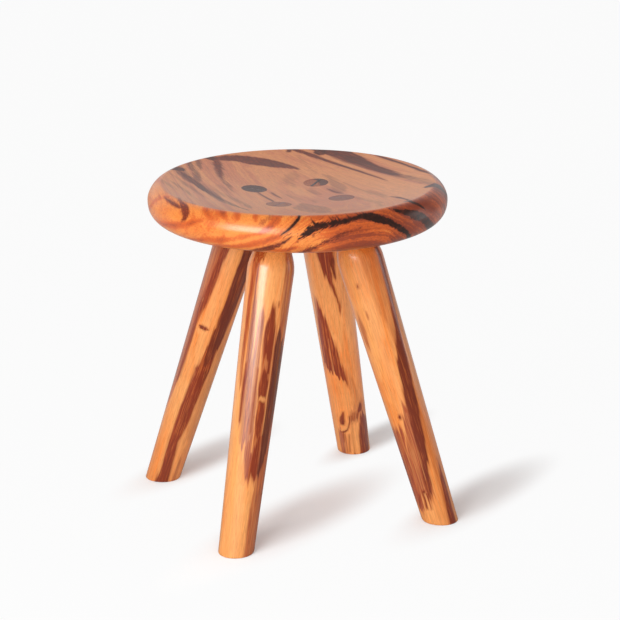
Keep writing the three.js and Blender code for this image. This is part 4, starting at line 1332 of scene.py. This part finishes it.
def build_camera():
    """Stands at its azimuth, distance and height, looks across the stool's axis and down by its
    pitch, and is turned a little by its yaw and roll."""
    forward = np.array([math.sin(CAMERA_YAW) * math.cos(CAMERA_PITCH),
                        math.cos(CAMERA_YAW) * math.cos(CAMERA_PITCH), -math.sin(CAMERA_PITCH)])
    right = np.array([math.cos(CAMERA_YAW), -math.sin(CAMERA_YAW), 0])
    up = np.cross(right, forward)
    rolled_right = right * math.cos(CAMERA_ROLL) + up * math.sin(CAMERA_ROLL)
    rolled_up = up * math.cos(CAMERA_ROLL) - right * math.sin(CAMERA_ROLL)
    axes = Matrix(np.stack([rolled_right, rolled_up, -forward], 1).tolist()).to_4x4()
    place = Matrix.Translation((0, -CAMERA_DISTANCE, CAMERA_HEIGHT))
    data = bpy.data.cameras.new("camera")
    data.lens, data.sensor_width, data.sensor_fit = CAMERA_LENS, SENSOR_WIDTH, "HORIZONTAL"
    data.clip_start, data.clip_end = 0.1, 100
    camera = link_new(data, "camera")
    camera.matrix_world = Matrix.Rotation(CAMERA_AZIMUTH + math.pi / 2, 4, "Z") @ place @ axes
    bpy.context.scene.camera = camera


def build_lamp(name, azimuth, elevation, distance, width, height, power, shines):
    data = bpy.data.lights.new(name, "AREA")
    data.shape, data.size, data.size_y, data.energy = "RECTANGLE", width, height, power
    lamp = link_new(data, name)
    lamp.matrix_world = (Matrix.Rotation(azimuth + math.pi / 2, 4, "Z")
                         @ Matrix.Rotation(math.pi / 2 - elevation, 4, "X")
                         @ Matrix.Translation((0, 0, distance)))
    lamp.location.z += LAMP_AIM
    lamp.visible_glossy = shines


def build_floor(colours):
    """A wide disc: rings of growing radius round the stool's axis. The camera sees it fade to
    white, except in an ellipse round each foot's shadow, and reflections see it dimmer."""
    radii = np.append(0, np.geomspace(FLOOR_MIDDLE, FLOOR_RADIUS, FLOOR_RINGS))
    turn = np.linspace(0, 2 * math.pi, FLOOR_SPOKES, endpoint=False)
    surfaces = Surfaces()
    surfaces.add(polar(radii[:, None], turn, 0.0), wrap=True, flip=True)
    points, faces = surfaces.welded()
    mesh = bpy.data.meshes.new("floor")
    mesh.from_pydata(points.tolist(), [], [tuple(dict.fromkeys(f)) for f in faces.tolist()])
    floor = link_new(mesh, "floor")

    r = Recipe(bpy.data.materials.new("floor_paper"))
    place = r.node("ShaderNodeTexCoord").outputs["Object"]
    x, y, _ = r.parts(place)

    def beyond(start, direction):
        """How far the floor lies beyond the start in a direction."""
        offset = -start[0] * direction[0] - start[1] * direction[1]
        return r.math("MULTIPLY_ADD", x, direction[0],
                      r.math("MULTIPLY_ADD", y, direction[1], offset))

    away = math.cos(KEY_AZIMUTH + math.pi), math.sin(KEY_AZIMUTH + math.pi)
    distance = NO_SHADOW
    for name, azimuth in CORNERS:
        share = SHADOW_SHARE[name]
        middle = [math.copysign(FOOT_PLACE, turned(math.radians(azimuth)))
                  + away[k] * SHADOW_REACH * share for k, turned in enumerate((math.cos, math.sin))]
        squares = [
            r.math("POWER", r.math("DIVIDE", beyond(middle, direction), reach * share), 2)
            for direction, reach in ((away, SHADOW_LENGTH), ((-away[1], away[0]), SHADOW_WIDTH))]
        distance = r.math("MINIMUM", distance, r.math("SQRT", r.math("ADD", *squares)))
    path = r.node("ShaderNodeLightPath").outputs
    behind = beyond((0, 0), (-math.cos(CAMERA_AZIMUTH), -math.sin(CAMERA_AZIMUTH)))
    lost = r.ramp(behind, FLOOR_SHINE_START, FLOOR_SHINE_END, 1 - FLOOR_SHINE_FRONT,
                  1 - FLOOR_SHINE_BACK)
    tone = r.mix(r.math("MULTIPLY", path["Is Glossy Ray"], lost), colours.floor, (0.0, 0.0, 0.0))
    paper = r.node("ShaderNodeBsdfDiffuse", {
        "Color": tone, "Roughness": 0.3, "Normal": r.bump(r.noise(place, 0.004, 2), 0.05)})
    white = r.node("ShaderNodeEmission", {"Color": (1, 1, 1, 1), "Strength": FLOOR_WHITE})
    fade = r.math("MULTIPLY", r.ramp(distance, FADE_START, FADE_END, 0.0, FADE_SHARE),
                  path["Is Camera Ray"])
    mixed = r.node("ShaderNodeMixShader", {0: fade, 1: paper.outputs[0], 2: white.outputs[0]})
    r.node("ShaderNodeOutputMaterial", {0: mixed.outputs[0]})
    mesh.materials.append(r.owner)


def build_world():
    """Even soft light from all round. The camera and whatever looks through something see plain
    white. Reflections see white on one side and a dimmer room on the other."""
    r = Recipe(bpy.data.worlds.new("studio"))
    path = r.node("ShaderNodeLightPath").outputs
    toward = r.node("ShaderNodeVectorMath", {
        0: r.node("ShaderNodeTexCoord").outputs["Generated"],
        1: (math.cos(SHINE_AZIMUTH), math.sin(SHINE_AZIMUTH), 0.0)},
        operation="DOT_PRODUCT").outputs["Value"]
    shine = r.ramp(toward, SHINE_START, SHINE_END, FRONT_SHINE, 1.0)
    glossy = r.ramp(path["Is Glossy Ray"], 0.0, 1.0, SKY_LEVEL, shine)
    white = r.math("ADD", path["Is Camera Ray"], path["Is Transmission Ray"], clamp=True)
    sky = r.node("ShaderNodeBackground", {1: r.ramp(white, 0.0, 1.0, glossy, 1.0)})
    r.node("ShaderNodeOutputWorld", {0: sky.outputs[0]})
    bpy.context.scene.world = r.owner


class STOOL_OT_stage(bpy.types.Operator):
    """Adds the camera, the lamps, the white surroundings and the floor"""
    bl_idname = "stool.stage"
    bl_label = "Stage"

    def execute(self, context):
        context.scene.view_settings.view_transform = "Standard"
        build_camera()
        build_world()
        for name, lamp in LAMPS.items():
            build_lamp(name, *lamp)
        build_floor(context.scene.stool_colours)
        return {"FINISHED"}


class STOOL_OT_seat(bpy.types.Operator):
    """Builds the dished seat in streaked wood"""
    bl_idname = "stool.seat"
    bl_label = "Seat"

    def execute(self, context):
        colours = context.scene.stool_colours
        shades = (colours.seat_light, colours.seat_deep, colours.seat_red, colours.seat_soft,
                  colours.seat_faded, colours.seat_streak, colours.seat_black, colours.seat_wear_and_sheen)
        material = wood_material("seat_streaked_wood", shades, SEAT_VARNISH, SEAT_COAT,
                                 flecked=True)
        build_seat(context.scene.stool_sizes, material)
        return {"FINISHED"}


class STOOL_OT_legs(bpy.types.Operator):
    """Builds the four turned legs with their tenons"""
    bl_idname = "stool.legs"
    bl_label = "Legs"

    def execute(self, context):
        colours = context.scene.stool_colours
        shades = (colours.leg_light, colours.leg_deep, colours.leg_red, colours.leg_soft,
                  colours.leg_mauve, colours.leg_streak, colours.leg_black)
        material = wood_material("leg_streaked_wood", shades, LEG_VARNISH, LEG_COAT, marked=True)
        for name, azimuth in CORNERS:
            build_leg(context.scene.stool_sizes, name, azimuth, material)
        return {"FINISHED"}


class STOOL_OT_wedges(bpy.types.Operator):
    """Builds the wedges in the tenons"""
    bl_idname = "stool.wedges"
    bl_label = "Wedges"

    def execute(self, context):
        material = wedge_material(context.scene.stool_colours)
        for name, azimuth in CORNERS:
            build_wedge(context.scene.stool_sizes, name, azimuth, material)
        return {"FINISHED"}


class STOOL_PT_panel(bpy.types.Panel):
    """Lists the stool's pieces, sizes and colours"""
    bl_label = "Wooden Stool"
    bl_idname = "STOOL_PT_panel"
    bl_space_type = "VIEW_3D"
    bl_region_type = "UI"
    bl_category = "Stool"

    def draw(self, context):
        for operator in OPERATORS:
            self.layout.operator(operator.bl_idname)
        for group in (context.scene.stool_sizes, context.scene.stool_colours):
            box = self.layout.box()
            for name in group.__annotations__:
                box.prop(group, name)


OPERATORS = (STOOL_OT_stage, STOOL_OT_seat, STOOL_OT_legs, STOOL_OT_wedges)
CLASSES = (StoolSizes, StoolColours, *OPERATORS, STOOL_PT_panel)


def register():
    for item in CLASSES:
        bpy.utils.register_class(item)
    bpy.types.Scene.stool_sizes = PointerProperty(type=StoolSizes)
    bpy.types.Scene.stool_colours = PointerProperty(type=StoolColours)


def unregister():
    del bpy.types.Scene.stool_colours
    del bpy.types.Scene.stool_sizes
    for item in reversed(CLASSES):
        bpy.utils.unregister_class(item)


def main():
    """Builds everything in order."""
    register()
    for operator in (bpy.ops.stool.stage, bpy.ops.stool.seat, bpy.ops.stool.legs,
                     bpy.ops.stool.wedges):
        operator()


if __name__ == "__main__":
    main()
